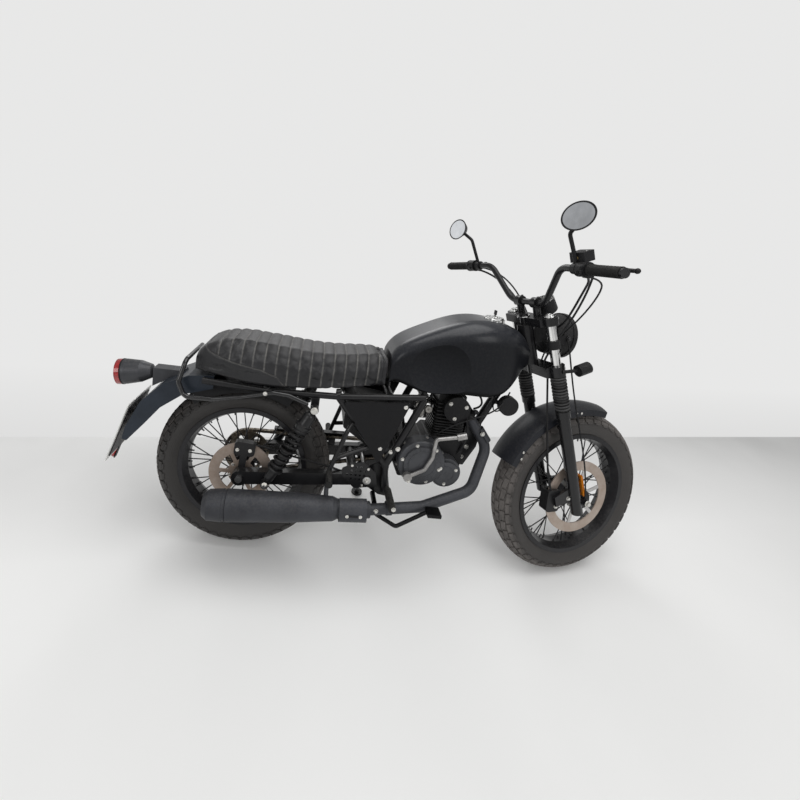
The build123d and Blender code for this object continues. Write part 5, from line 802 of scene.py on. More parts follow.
class MakeTyres(Operator):
    """Build both tyres with their tread blocks"""
    bl_idname = "scrambler.tyres"
    bl_label = "Tyres"

    def execute(self, context):
        for wheel, sizes in TYRES.items():
            self.tyre(wheel, *sizes)
        return {"FINISHED"}

    def tyre(self, wheel, radius, half, crown, bead, rim_half):
        depth, count = looks().tread_depth, looks().tread_count
        inner = crown - depth
        hub = radius - crown
        bead_y = rim_half - 3.8
        edge_y, edge_r = inner * sin(TREAD_EDGE), hub + inner * cos(TREAD_EDGE)
        bulge_y = half * 2 - (bead_y + edge_y) / 2 - 1
        bulge_r = bead + 0.44 * (radius - bead) + 6
        side = [(bead_y, bead), (bead_y, bead + 11)]
        for k in range(1, 12):
            reach = bend(k / 12, bead_y, bulge_y, edge_y)
            side.append((min(reach, half - 0.6), bend(k / 12, bead + 11, bulge_r, edge_r)))
        for k in range(9):
            angle = TREAD_EDGE * (1 - k / 8)
            side.append((inner * sin(angle), hub + inner * cos(angle)))
        whole = side + [(-y, r) for y, r in reversed(side[:-1])]
        piece = Piece(WHEELS[wheel] @ Matrix.Rotation(pi / 2, 4, "X"))
        piece.stamp(turned([(r, y) for y, r in whole + whole[:1]], 96))
        pitch = tau * radius / count
        for start, angle, length, width, twist in TREAD_ROWS:
            lean = radians(angle)
            wide = width * crown / TREAD_CROWN
            part = block((pitch * length, wide, depth * 2), 1.6, 1)
            sink = wide * wide / 8 / crown + (pitch * length) ** 2 / 8 / radius + depth
            for k in range(count):
                turn = Matrix.Rotation((k + start) * tau / count, 4, "Z")
                seat = (
                    turn @ Matrix.Translation((hub, 0, 0)) @ Matrix.Rotation(-lean, 4, "Y")
                    @ Matrix.Translation((crown - sink, 0, 0)) @ Matrix.Rotation(radians(90), 4, "X")
                    @ Matrix.Rotation(radians(90), 4, "Y") @ Matrix.Rotation(radians(twist), 4, "Z")
                )
                piece.stamp(part, seat)
        tyre = wheel + "_tyre"
        piece.done(tyre + "_tread", wheel + "_wheel", tyre, "tyre", [tyre])


# Seat
# x and z of the side seam, the ends of the channelled part and the first channel
SEAT_SEAM = (
    (-200, 790), (-165, 768), (-130, 747), (-49, 726), (38, 712), (90, 692), (140, 640), (500, 400),
)
PAD_BACK, PAD_FRONT, FIRST_CHANNEL, SEAM_END = -118, 442, -105, 160
# the grid of the cover, how far it starts inside, and its travel above and at the base
GRID, INSET, TRAVEL, BASE_TRAVEL = 0.005, 0.003, 0.007, 0.0025
PRESSURE, FRAMES, FOAM_SHARE = 4, 20, 0.75


def held(value):
    """A value kept from 0 to 1."""
    return min(1, max(0, value))


def seam_height(x):
    """The height of the side seam at this x."""
    for (low_x, low_z), (high_x, high_z) in zip(SEAT_SEAM, SEAT_SEAM[1:]):
        if x <= high_x:
            return low_z + (high_z - low_z) * (x - low_x) / (high_x - low_x)
    return SEAT_SEAM[-1][1]


class MakeSeat(Operator):
    """Swell the seat's pad and sew its channels and seams"""
    bl_idname = "scrambler.seat"
    bl_label = "Seat"

    def execute(self, context):
        shape = bmesh.new()
        shape.from_mesh(nodes["seat"].data)
        bmesh.ops.remove_doubles(shape, verts=shape.verts, dist=0.00002)
        bmesh.ops.recalc_face_normals(shape, faces=shape.faces)
        mesh = bpy.data.meshes.new("seat_pad")
        shape.to_mesh(mesh)
        shape.free()
        mesh.materials.append(bpy.data.materials["seat_vinyl"])
        pad = bpy.data.objects.new("seat_pad", mesh)
        context.scene.collection.objects.link(pad)
        grid = pad.modifiers.new("grid", "REMESH")
        grid.mode, grid.voxel_size = "VOXEL", GRID
        self.bake(pad)
        for vertex, normal in zip(pad.data.vertices, [v.normal.copy() for v in pad.data.vertices]):
            vertex.co -= normal * INSET
        self.swell(pad, context)
        fine = pad.modifiers.new("fine", "SUBSURF")
        fine.levels = fine.render_levels = 1
        self.bake(pad)
        self.sew(pad)
        for face in pad.data.polygons:
            face.use_smooth = True
        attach(pad, "chassis")
        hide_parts("seat")
        return {"FINISHED"}

    def bake(self, pad):
        """Make the modifiers' result the pad's own mesh."""
        bpy.context.view_layer.update()
        made = bpy.data.meshes.new_from_object(
            pad.evaluated_get(bpy.context.evaluated_depsgraph_get())
        )
        pad.modifiers.clear()
        pad.data = made
        if not made.materials:
            made.materials.append(bpy.data.materials["seat_vinyl"])

    def swell(self, pad, context):
        """Let the foam press its cover outwards, held to a few millimetres."""
        rest = [v.co.copy() for v in pad.data.vertices]
        cloth = pad.modifiers.new("cloth", "CLOTH")
        cloth.settings.use_pressure = True
        cloth.settings.uniform_pressure_force = PRESSURE
        cloth.settings.effector_weights.gravity = 0
        cloth.point_cache.frame_start, cloth.point_cache.frame_end = 1, FRAMES
        for number in range(1, FRAMES + 1):
            context.scene.frame_set(number)
        self.bake(pad)
        context.scene.frame_set(1)
        back = BIKE.inverted()
        for vertex, old in zip(pad.data.vertices, rest):
            spot = back @ old
            free = TRAVEL if spot.z > 690 and -170 < spot.x < 450 else BASE_TRAVEL
            move = vertex.co - old
            if move.length > free:
                vertex.co = old + move.normalized() * free

    def sew(self, pad):
        """Press the channels and the side seam into the cover."""
        pitch, depth = looks().channel_pitch, looks().channel_depth
        back = BIKE.inverted()
        mesh = pad.data
        mark = mesh.attributes.new("channel", "FLOAT", "POINT")
        pad_normals = [v.normal.copy() for v in mesh.vertices]
        for k, vertex in enumerate(mesh.vertices):
            spot = back @ vertex.co
            over = spot.z - seam_height(spot.x)
            if spot.z < 668 and abs(spot.y) < 112:
                continue
            press, line = 0.0, 0.0
            if over > -2 and PAD_BACK < spot.x < PAD_FRONT:
                share = (spot.x - FIRST_CHANNEL) / pitch % 1
                lobe = sqrt(max(0.0, sin(pi * share)))
                fade = held((over + 2) / 8)
                fade *= held((spot.x - PAD_BACK) / 8) * held((PAD_FRONT - spot.x) / 8)
                press += depth * (1 - lobe) * fade
                line = max(line, (1 - min(1, min(share, 1 - share) / 0.09)) * fade)
            if spot.x < SEAM_END and abs(over) < 9:
                press += 3.2 * max(0, 1 - abs(over) / 3.5) - 1.4 * max(0, 1 - abs(over - 6) / 3)
                line = max(line, max(0, 1 - abs(over) / 3) * 0.7)
            past = abs(spot.x - PAD_FRONT - 2)
            if past < 4:
                press += 3 * (1 - past / 4)
            vertex.co -= pad_normals[k] * press * MM
            mark.data[k].value = line
        mesh.update()


# Shock absorbers
SHOCK_FOOT, SHOCK_TOP, SHOCK_SIDE = Vector((92, 0, 318)), Vector((227, 0, 604)), 141


class MakeShocks(Operator):
    """Build both shock absorbers with wound coils"""
    bl_idname = "scrambler.shocks"
    bl_label = "Shock absorbers"

    def execute(self, context):
        body, coil = Piece(BIKE), Piece(BIKE)
        run = (SHOCK_TOP - SHOCK_FOOT).length
        lower = turned([
            (0, 8), (9, 8), (12, 16), (17, 22), (18, 30), (18, 62), (27.5, 64), (28.5, 66), (28.5, 70),
            (26, 72), (18, 73), (18, 150), (7, 151), (7, run - 92), (0, run - 92),
        ])
        upper = turned([
            (0, run - 96), (20, run - 96), (27.5, run - 72), (28.5, run - 69), (28.5, run - 64),
            (24, run - 62), (22, run - 58), (22, run - 30), (20, run - 22), (12, run - 14), (0, run - 10),
        ])
        turns, low, long, wide = looks().coil_turns, 76, run - 152, 24
        steps = turns * 12
        spots = [
            (wide * cos(k * tau / 12), wide * sin(k * tau / 12), low + long * k / steps)
            for k in range(steps + 1)
        ]
        wire = tube(spots, 4.6, 2)
        eye = turned([(8.4, -12), (14, -12), (14, 12), (8.4, 12), (8.4, -12)], 28)
        for side in (1, -1):
            out = Vector((0, side * SHOCK_SIDE, 0))
            stand = facing(SHOCK_FOOT + out, SHOCK_TOP - SHOCK_FOOT)
            body.stamp(lower, stand).stamp(upper, stand)
            coil.stamp(wire, stand)
            for spot in (SHOCK_FOOT, SHOCK_TOP):
                body.stamp(eye, facing(spot + out, (0, 1, 0)))
        body.done("shock_bodies", "chassis", "frame_black", "frame_black", ["shocks"])
        coil.done("shock_coils", "chassis", "cable_black", "frame_black")
        return {"FINISHED"}


# Chain
# x and z of both axles, the chain's radius on each, its plane and the pitch of its links
REAR_AXLE, FRONT_AXLE = Vector((0, 314)), Vector((566, 385))
BIG, SMALL, CHAIN_PLANE, LINK = 87, 29, 78, 15.875


class MakeChain(Operator):
    """Lay the drive chain's links round both sprockets"""
    bl_idname = "scrambler.chain"
    bl_label = "Drive chain"

    def execute(self, context):
        marks = self.loop()
        total = marks[-1][0]
        count = round(total / LINK / 2) * 2
        step = total / count
        piece = Piece(BIKE)
        plate = block((21.5, 1.1, 11), 4, 2)
        roller = turned([(0, -2.2), (3.9, -2.2), (3.9, 2.2), (0, 2.2)], 10)
        pin = turned([(0, -4.4), (2, -4.4), (2, 4.4), (0, 4.4)], 8)
        for k in range(count):
            first, second = self.at(marks, k * step), self.at(marks, (k + 1) * step % total)
            run = second - first
            centre = (first + second) / 2
            direction = Vector((run.x, 0, run.y)).normalized()
            side = Vector((0, 1, 0))
            third = direction.cross(side)
            turn = Matrix((direction, side, third)).transposed().to_4x4()
            for offset in ((2.9, -2.9) if k % 2 else (3.95, -3.95)):
                seat = Matrix.Translation((centre.x, CHAIN_PLANE + offset, centre.y))
                piece.stamp(plate, seat @ turn)
            lay = facing((first.x, CHAIN_PLANE, first.y), (0, 1, 0))
            piece.stamp(roller, lay).stamp(pin, lay)
        piece.done("chain_links", "chassis", "chain_steel", "chain_steel", ["drive_chain"])
        return {"FINISHED"}

    def loop(self):
        """Length marks and points round both sprockets."""
        run = FRONT_AXLE - REAR_AXLE
        heading = run.normalized()
        dip = (BIG - SMALL) / run.length
        across = Vector((-heading.y, heading.x)) * sqrt(1 - dip * dip)
        high, low = heading * dip + across, heading * dip - across
        spots = []
        for centre, radius, start, end in (
            (REAR_AXLE, BIG, high, low), (FRONT_AXLE, SMALL, low, high),
        ):
            first, last = atan2(start.y, start.x), atan2(end.y, end.x)
            if last < first:
                last += tau
            for k in range(33):
                angle = first + (last - first) * k / 32
                spots.append(centre + Vector((cos(angle), sin(angle))) * radius)
        spots.append(spots[0].copy())
        marks, total = [(0.0, spots[0])], 0.0
        for before, after in zip(spots, spots[1:]):
            total += (after - before).length
            marks.append((total, after))
        return marks

    def at(self, marks, length):
        """The point this far along the marked loop."""
        for (low, first), (high, second) in zip(marks, marks[1:]):
            if length <= high:
                share = (length - low) / (high - low) if high > low else 0
                return first.lerp(second, share)
        return marks[-1][1]


# Bolts
RIGHT, LEFT, AHEAD, DOWN = (0, 1, 0), (0, -1, 0), (-1, 0, 0), (0, 0, -1)
BOTH = (RIGHT, LEFT)


def round_of(x, z, radius, count, start):
    """Points on a circle."""
    return tuple(
        (x + radius * cos(start + k * tau / count), z + radius * sin(start + k * tau / count))
        for k in range(count)
    )


# body, aims, head radius and height, head, finish, spots across the aim
BOLT_SETS = (
    ("chassis", (RIGHT,), 5, 4, hexagon, "bolt_zinc", round_of(622, 440, 70, 6, 0.9)),
    ("chassis", (RIGHT,), 4.5, 3.5, hexagon, "bolt_zinc", round_of(716, 408, 38, 3, 0.5)),
    ("chassis", (RIGHT,), 5.5, 4, hexagon, "bolt_zinc", round_of(728, 633, 34, 3, 0.4)),
    ("chassis", (LEFT,), 5, 4, hexagon, "bolt_zinc", round_of(672, 432, 56, 6, 0.3)),
    ("chassis", BOTH, 7, 3.5, socket_head, "bolt_zinc", ((534, 638), (470, 476))),
    ("chassis", BOTH, 9.5, 8, hexagon, "bolt_zinc", ((227, 604), (92, 318))),
    ("chassis", BOTH, 6.5, 6, hexagon, "bolt_zinc", (
        (800, 428), (812, 470), (838, 552), (534, 478),
    )),
    ("chassis", BOTH, 6, 5, hexagon, "bolt_zinc", (
        (440, 356), (522, 330), (512, 462), (474, 292),
    )),
    ("chassis", (RIGHT,), 6, 3, socket_head, "bolt_zinc", ((420, 284), (376, 282))),
    ("chassis", (RIGHT,), 4.5, 3, socket_head, "bolt_zinc", ((440, 400), (382, 408), (425, 336))),
    ("chassis", (RIGHT,), 5, 5, hexagon, "bolt_zinc", ((-18, 404), (26, 404))),
    ("chassis", (RIGHT,), 5.5, 4, hexagon, "bolt_zinc", ((60, 636),)),
    ("chassis", (LEFT,), 5, 4, hexagon, "bolt_zinc", ((542, 356), (592, 352), (592, 422))),
    ("steering", (AHEAD,), 5, 6, hexagon, "bolt_zinc", (
        (-92, 721), (92, 721), (-92, 538), (92, 538),
    )),
    ("steering", (DOWN,), 4.5, 4, socket_head, "bolt_dark", (
        (38, -42), (14, -42), (38, 42), (14, 42),
    )),
    ("steering", (RIGHT,), 9, 7, hexagon, "bolt_zinc", ((66, 0),)),
    ("steering", (LEFT,), 10, 8, hexagon, "bolt_zinc", ((66, 0),)),
    ("steering", (RIGHT,), 6, 5, hexagon, "bolt_zinc", ((-46, 16), (4, 36))),
    ("steering", BOTH, 4.5, 3, socket_head, "bolt_zinc", (
        (118, 330), (140, 324), (-130, 265), (-143, 244),
    )),
    ("steering", BOTH, 7, 5, hexagon, "bolt_dark", ((100, 636),)),
)
AIM_REACH = 600


class MakeBolts(Operator):
    """Set the screws and bolts on the surfaces that they hold"""
    bl_idname = "scrambler.bolts"
    bl_label = "Bolts"

    def execute(self, context):
        trees = {}
        for body, place in PLACES.items():
            names = frame["record"]["behaviour"]["bodies"][body]
            trees[body] = surface([n for n in names if n != "seat"], place)
        groups = {}
        for body, aims, radius, height, head, finish, spots in BOLT_SETS:
            part = head(radius, height)
            piece = groups.setdefault((body, finish), Piece(PLACES[body]))
            for aim in aims:
                for first, second in spots:
                    if aim[1]:
                        start = (first, -aim[1] * AIM_REACH, second)
                    elif aim[0]:
                        start = (AIM_REACH / 2, first, second)
                    else:
                        start = (first, second, AIM_REACH * 2)
                    piece.stamp(part, landing(trees[body], start, aim))
        for (body, finish), piece in groups.items():
            slot = "bright_metal" if finish == "bolt_zinc" else "frame_black"
            piece.done(body + "_" + finish, body, finish, slot)
        return {"FINISHED"}


# Front end
BAR_END, BAR_KNEE = Vector((-9, -435, 912)), Vector((26, -182.7, 912))
GRIP_RINGS, GRIP_STEPS, GRIP_RADIUS, DIAMOND_RADIUS = 42, 32, 15.2, 16.4


def on_bar(side, inset, forward=0.0, up=0.0):
    """A point on the bar's end run, this far in from its end."""
    spot = BAR_END + (BAR_KNEE - BAR_END).normalized() * inset
    return Vector((spot.x + forward, side * abs(spot.y), spot.z + up))


class MakeGrips(Operator):
    """Mould the diamond pattern of both grips"""
    bl_idname = "scrambler.grips"
    bl_label = "Grips"

    def execute(self, context):
        piece = Piece(FORK)
        low, high = GRIP_RADIUS, DIAMOND_RADIUS
        profile = [(11.2, 0), (15.5, 0), (high, 1.5), (high, 4), (low, 5)]
        profile += [(low, 5 + 110 * k / GRIP_RINGS) for k in range(1, GRIP_RINGS)]
        profile += [(low, 115), (high, 116), (high, 124), (14, 125.5), (11.2, 125.5)]
        for side in (1, -1):
            part = turned(profile + profile[:1], GRIP_STEPS)
            for vertex in part.vertices:
                radius = sqrt(vertex.co.x ** 2 + vertex.co.y ** 2)
                if 6 < vertex.co.z < 114 and radius > 14:
                    row = round((vertex.co.z - 5) * GRIP_RINGS / 110)
                    column = round(atan2(vertex.co.y, vertex.co.x) * GRIP_STEPS / tau)
                    if (row + column) % 2:
                        vertex.co.x *= high / radius
                        vertex.co.y *= high / radius
            run = on_bar(side, 126) - on_bar(side, 0)
            piece.stamp(part, facing(on_bar(side, 0.3), run))
        piece.done("grip_rubbers", "steering", "grip_rubber", "grip_rubber", ["grips"], smooth=0.3)
        return {"FINISHED"}


# the dial's first angle, its sweep and its marks
DIAL_START, DIAL_SWEEP, MARKS, MARKS_PER_FIGURE, SPEED_PER_MARK = radians(225), radians(270), 32, 4, 5


class MakeDial(Operator):
    """Print the speedometer's dial and set its needle and rim"""
    bl_idname = "scrambler.dial"
    bl_label = "Speedometer dial"

    def execute(self, context):
        face = FORK @ Matrix.Translation((88, 0, 772)) @ Matrix.Rotation(radians(-14), 4, "Y")
        rider = Matrix.Rotation(-pi / 2, 4, "Z")
        rim = Piece(face)
        rim.stamp(turned([
            (36.8, -3.8), (39.4, -3.8), (40.0, -2.5), (40.0, -0.6), (39.0, 0), (37.6, 0), (36.8, -1),
            (36.8, -3.8),
        ], 48))
        rim.done("meter_rim", "steering", "chrome", "chrome")
        plate = Piece(face)
        plate.stamp(turned([(0, -3.9), (36.7, -3.9), (36.7, -3.2), (0, -3.2)], 48))
        plate.stamp(turned([(0, -3.2), (4.5, -3.2), (4, -1.2), (0, -1)], 20))
        plate.done("meter_dial", "steering", "control_black", "control_black")
        figures, hand = Piece(face), Piece(face)
        long_mark, short_mark = block((1.1, 5, 0.25)), block((0.7, 3, 0.25))
        for k in range(MARKS + 1):
            angle = DIAL_START - k * DIAL_SWEEP / MARKS
            mark = short_mark if k % MARKS_PER_FIGURE else long_mark
            spot = rider @ Matrix.Translation((33 * cos(angle), 33 * sin(angle), -3.1))
            figures.stamp(mark, spot @ Matrix.Rotation(angle - pi / 2, 4, "Z"))
            if k % MARKS_PER_FIGURE == 0:
                at = rider @ Matrix.Translation((24.5 * cos(angle), 24.5 * sin(angle), -3.15))
                figures.stamp(words(str(k * SPEED_PER_MARK), 7), at)
        figures.done("meter_figures", "steering", "dial_white", "control_black")
        turn = rider @ Matrix.Rotation(DIAL_START, 4, "Z")
        hand.stamp(block((30, 1.5, 0.6), 0.25), turn @ Matrix.Translation((12, 0, -2.1)))
        hand.done("meter_needle", "steering", "needle_red", "control_black")
        return {"FINISHED"}


class MakeForkDetails(Operator):
    """Add the fork's bright caps, the lamp's rim, reservoir lid and lever ends"""
    bl_idname = "scrambler.fork_details"
    bl_label = "Fork details"

    def execute(self, context):
        bright, dark = Piece(FORK), Piece(FORK)
        cap = turned([
            (0, 1.2), (5.6, 1.2), (6.2, 2.8), (12.2, 2.8), (13.2, 1.8), (13.2, -3), (19.5, -3.2),
            (19.8, -4.6), (0, -4.6),
        ], 32)
        for side in (1, -1):
            bright.stamp(cap, Matrix.Translation((34, side * 92, 742)))
        bright.stamp(pipe(16.6, 22, 0, 3, 32), Matrix.Translation((0, 0, 735)))
        ring = turned([
            (82.4, -3), (83.0, -2), (83.0, 10), (81.5, 13), (78, 13.8), (75.6, 12), (75.6, 9),
            (82, -3), (82.4, -3),
        ], 72)
        dark.stamp(ring, LAMP @ facing((34.5, 0, 0), (1, 0, 0)))
        middle = 179
        top = on_bar(-1, middle, 24, 47)
        lid = block((42, 54, 5), 2, 2)
        dark.stamp(lid, Matrix.Translation(top + Vector((0, 0, -1.4))))
        screw = socket_head(3, 1.2)
        for step in (-19, 19):
            bright.stamp(screw, Matrix.Translation(top + Vector((0, step, 1.1))))
        window = turned([(0, 0), (7, 0), (7.5, 1), (6, 1.6), (0, 1.6)], 24)
        sight = Piece(FORK)
        sight.stamp(window, facing(top + Vector((-22, 0, -15)), (-1, 0, 0)))
        sight.done("fluid_window", "steering", "brass", "control_black")
        ball = turned([(0, -8), (4, -7.2), (7, -4), (8, 0), (7, 4), (4, 7.2), (0, 8)], 18)
        for side in (1, -1):
            dark.stamp(ball, facing(on_bar(side, middle - 165, 62, -12), (0, 1, 0)))
            for inset in (129, 163):
                run = on_bar(side, 200) - on_bar(side, 0)
                dark.stamp(pipe(21, 22.8, 0, 3, 28), facing(on_bar(side, inset), run))
            button = turned([(0, 0), (6, 0), (6, 2.4), (5, 3.2), (0, 3.4)], 18)
            for inset, lift in ((138, 0.5), (152, -0.2)):
                direction = Vector((-1, 0, lift)).normalized()
                dark.stamp(button, facing(on_bar(side, inset) + direction * 21.4, direction))
        drive = turned([(0, 78), (38, 78), (40, 80), (40, 85), (34, 91), (0, 91)], 40)
        dark.stamp(drive, facing((66, 0, 0), (0, -1, 0)))
        bright.done("fork_bright", "steering", "chrome", "chrome")
        dark.done("fork_dark", "steering", "control_black", "control_black")
        return {"FINISHED"}


# Lines and cables
# points of the left side's loom and signal wire
LOOM = ((24, 276, 892), (58, 262, 872), (84, 200, 820), (92, 130, 740), (84, 90, 690), (72, 40, 664))
SIGNAL_WIRE = ((40, 112, 600), (60, 100, 610), (70, 60, 628), (78, 30, 640))


def mirrored(points):
    """The same points on the right side."""
    return tuple((x, -y, z) for x, y, z in points)


# the first lines of the table end in a ferrule: body, radius, points
FERRULES = 5
LINES = (
    ("steering", 3.6, (
        (48, -268, 912), (92, -250, 900), (118, -200, 840), (112, -150, 760), (74, -118, 690),
        (20, -72, 600), (2, -62, 560), (14, -62, 520),
    )),
    ("steering", 3.8, mirrored(LOOM)),
    ("steering", 2.8, (
        (14, -290, 890), (66, -300, 868), (104, -240, 806), (104, -150, 716), (70, -70, 640),
        (44, -30, 600), (30, -18, 552),
    )),
    ("steering", 3.8, LOOM),
    ("steering", 3.0, (
        (30, 262, 900), (76, 250, 880), (112, 190, 812), (100, 110, 716), (66, 50, 640), (40, 24, 592),
        (30, 14, 552),
    )),
    ("steering", 2.8, (
        (88, 6, 724), (112, -8, 700), (96, -96, 640), (66, -124, 560), (62, -124, 430), (70, -122, 300),
        (74, -120, 160), (70, -112, 60), (66, -108, 18),
    )),
    ("steering", 2.2, mirrored(SIGNAL_WIRE)),
    ("steering", 2.2, SIGNAL_WIRE),
    ("chassis", 3.6, (
        (790, -66, 640), (812, -84, 656), (808, -70, 690), (780, -40, 704), (752, -24, 712),
    )),
    ("chassis", 2.8, (
        (672, -58, 520), (700, -76, 560), (780, -92, 610), (860, -78, 640), (905, -50, 672),
        (925, -34, 706),
    )),
    ("chassis", 4.2, ((640, -50, 700), (636, -64, 676), (622, -60, 650), (614, -40, 632))),
    ("chassis", 5.5, ((560, -46, 520), (548, -74, 556), (536, -70, 600), (520, -50, 622))),
    ("chassis", 4.5, ((752, -58, 452), (772, -82, 482), (782, -80, 560), (772, -64, 606))),
    ("chassis", 3.6, (
        (470, -104, 330), (400, -98, 352), (300, -96, 382), (180, -94, 400), (90, -92, 424),
        (36, -88, 428),
    )),
    ("chassis", 2.2, ((905, -40, 640), (890, -26, 618), (876, -22, 640), (880, -18, 676))),
)


class MakeLines(Operator):
    """Run the brake lines, cables and looms"""
    bl_idname = "scrambler.lines"
    bl_label = "Lines and cables"

    def execute(self, context):
        pieces = {"steering": Piece(FORK), "chassis": Piece(BIKE)}
        for body, radius, points in LINES:
            pieces[body].stamp(tube(points, radius, 5))
        ferrule = turned([(0, -9), (5, -9), (5, 4), (3.8, 9), (0, 9)], 12)
        for body, _, points in LINES[:FERRULES]:
            first, second = Vector(points[0]), Vector(points[1])
            pieces[body].stamp(ferrule, facing(first, second - first))
        for body, piece in pieces.items():
            piece.done(body + "_lines", body, "cable_black", "control_black")
        return {"FINISHED"}


# Engine and exhaust
# x, z and radius of a cover's ring, and the side that it is on
COVER_RINGS = ((622, 440, 46, RIGHT), (716, 408, 26, RIGHT), (672, 432, 40, LEFT))
# x, z, radius and start of the round of lugs on a cover, their y and the side that they look to
LUG_ROUNDS = ((622, 440, 82, 0.35, -88, -1), (672, 432, 68, 0.8, 84, 1))
# place, radius, length and axis of each round fitting of the carburettor
FITTINGS = (
    ((606, -22, 588), 20, 8, (0, -1, 0)), ((600, -20, 618), 12, 14, (0, -1, 0)),
    ((618, -18, 640), 9, 20, (0.2, -1, 0.3)), ((596, -24, 570), 9, 12, (0, -1, 0)),
    ((640, -26, 606), 15, 10, (0, -1, 0)), ((612, 22, 604), 14, 12, (0, 1, 0)),
)
PLUG_AXIS = (0.3, -0.9, 0.35)


class MakeEngineDetails(Operator):
    """Add the plug cap, cover rings, carburettor fittings and cover badges"""
    bl_idname = "scrambler.engine_details"
    bl_label = "Engine details"

    def execute(self, context):
        tree = surface((
            "engine_covers", "cylinder_head", "carburettor", "crankcase", "cylinder",
        ), BIKE)
        satin, alloy, dark = Piece(BIKE), Piece(BIKE), Piece(BIKE)
        for x, z, radius, aim in COVER_RINGS:
            at = landing(tree, (x, -aim[1] * AIM_REACH, z), aim)
            ring = turned([
                (radius - 2, -4), (radius, 1.2), (radius + 3, 1.6), (radius + 5, -4), (radius - 2, -4),
            ], 48)
            satin.stamp(ring, at)
            satin.stamp(turned([(0, 1), (radius * 0.22, 1), (radius * 0.24, -3), (0, -3)], 24), at)
        at = landing(tree, (622, -AIM_REACH, 440), RIGHT)
        for k in range(24):
            turn = Matrix.Rotation(k * tau / 24, 4, "Z")
            satin.stamp(block((14, 1.6, 2.0), 0.5), at @ turn @ Matrix.Translation((58, 0, 0)))
        lug = turned([(0, -16), (7, -16), (7.5, 0), (6, 1.5), (0, 1.5)], 18)
        for middle_x, middle_z, radius, start, y, side in LUG_ROUNDS:
            for x, z in round_of(middle_x, middle_z, radius, 6, start):
                satin.stamp(lug, facing((x, y, z), (0, side, 0)))
                alloy.stamp(hexagon(4.2, 3.5), facing((x, y + side * 1.5, z), (0, side, 0)))
        cap = turned([(0, 34), (8, 33), (9, 28), (7, 12), (9, 8), (9, 0), (0, 0)], 20)
        plug = turned([(0, -12), (7, -12), (7, 0), (5, 2), (0, 2)], 6)
        alloy.stamp(plug, facing((784, -50, 622), PLUG_AXIS))
        dark.stamp(cap, facing((786, -56, 624), PLUG_AXIS))
        for place, radius, length, axis in FITTINGS:
            shoulder = [(radius, length * 0.7), (radius * 0.8, length)]
            fitting = turned([(0, 0), (radius, 0), *shoulder, (0, length)], 24)
            alloy.stamp(fitting, facing(place, axis))
            tip = Vector(place) + Vector(axis).normalized() * length
            alloy.stamp(hexagon(3.5, 3), facing(tip, axis))
        for x in (586, 650):
            dark.stamp(pipe(24, 26, -3, 3, 28), facing((x, 0, 612), (1, 0, 0)))
        satin.done("engine_trim", "chassis", "case_cover", "case_cover")
        alloy.done("engine_fittings", "chassis", "carburettor_alloy", "bright_metal")
        dark.done("plug_cap", "chassis", "cable_black", "control_black")
        return {"FINISHED"}


class MakeExhaustDetails(Operator):
    """Add the header's clamp, the muffler's bands and the guard's slot"""
    bl_idname = "scrambler.exhaust_details"
    bl_label = "Exhaust details"

    def execute(self, context):
        piece, dark = Piece(BIKE), Piece(BIKE)
        front, rear = Vector((456, -186, 286)), Vector((-96, -186, 250))
        line = (rear - front).normalized()
        for along, radius, width in ((2, 27.5, 14), (16, 28.5, 3), (478, 52.2, 2.5)):
            low = radius - 3
            band = turned([
                (low, 0), (radius, 0.6), (radius, width - 0.6), (low, width), (low, 0),
            ], 48)
            piece.stamp(band, facing(front + line * along, line))
        tip = turned([(22, -2), (25, -2.6), (25, 0), (22.2, 0.6), (22, -2)], 40)
        piece.stamp(tip, facing(rear + line * 0.2, -line))
        dark.stamp(block((34, 3, 5), 1.2, 2), facing((398, -229.5, 283), (0, 0, 1)))
        piece.stamp(pipe(20, 23.5, -9, 9, 32), facing((520, -175, 291), (0.98, 0.1, 0.06)))
        piece.done("exhaust_bands", "chassis", "exhaust_dark", "exhaust_dark")
        dark.done("guard_slot", "chassis", "cable_black", "frame_black")
        return {"FINISHED"}


# Tank, tail and wheels
class MakeTankDetails(Operator):
    """Add the filler cap's lock, key and ring of dots"""
    bl_idname = "scrambler.tank_details"
    bl_label = "Tank details"

    def execute(self, context):
        tree = surface(("fuel_cap",), BIKE)
        bright, dark = Piece(BIKE), Piece(BIKE)
        at = landing(tree, (826, 0, AIM_REACH * 2), DOWN)
        bright.stamp(turned([(0, 0), (11, 0), (11, 1.6), (9.6, 2.4), (0, 2.4)], 28), at)
        dark.stamp(turned([(0, 2.3), (5, 2.3), (5, 3.2), (0, 3.2)], 20), at)
        dark.stamp(block((2, 7, 8), 0.5), at @ Matrix.Translation((0, 0, 6)))
        dark.stamp(block((5, 19, 17), 1.8, 2), at @ Matrix.Translation((0, 0, 15.5)))
        dot = turned([(0, -0.2), (2.4, -0.2), (2.4, 0.5), (0, 0.5)], 10)
        for k in range(8):
            turn = Matrix.Rotation((k + 0.5) * tau / 8, 4, "Z")
            dark.stamp(dot, at @ turn @ Matrix.Translation((24, 0, 0)))
        bright.done("cap_lock", "chassis", "chrome", "chrome")
        dark.done("cap_key", "chassis", "control_black", "chrome")
        return {"FINISHED"}


# y, z, width and height of the number plate's four raised edges
PLATE_EDGES = (
    (0, -3.2, 188, 1.6), (0, -220.8, 188, 1.6), (96.8, -112, 1.6, 212), (-96.8, -112, 1.6, 212),
)


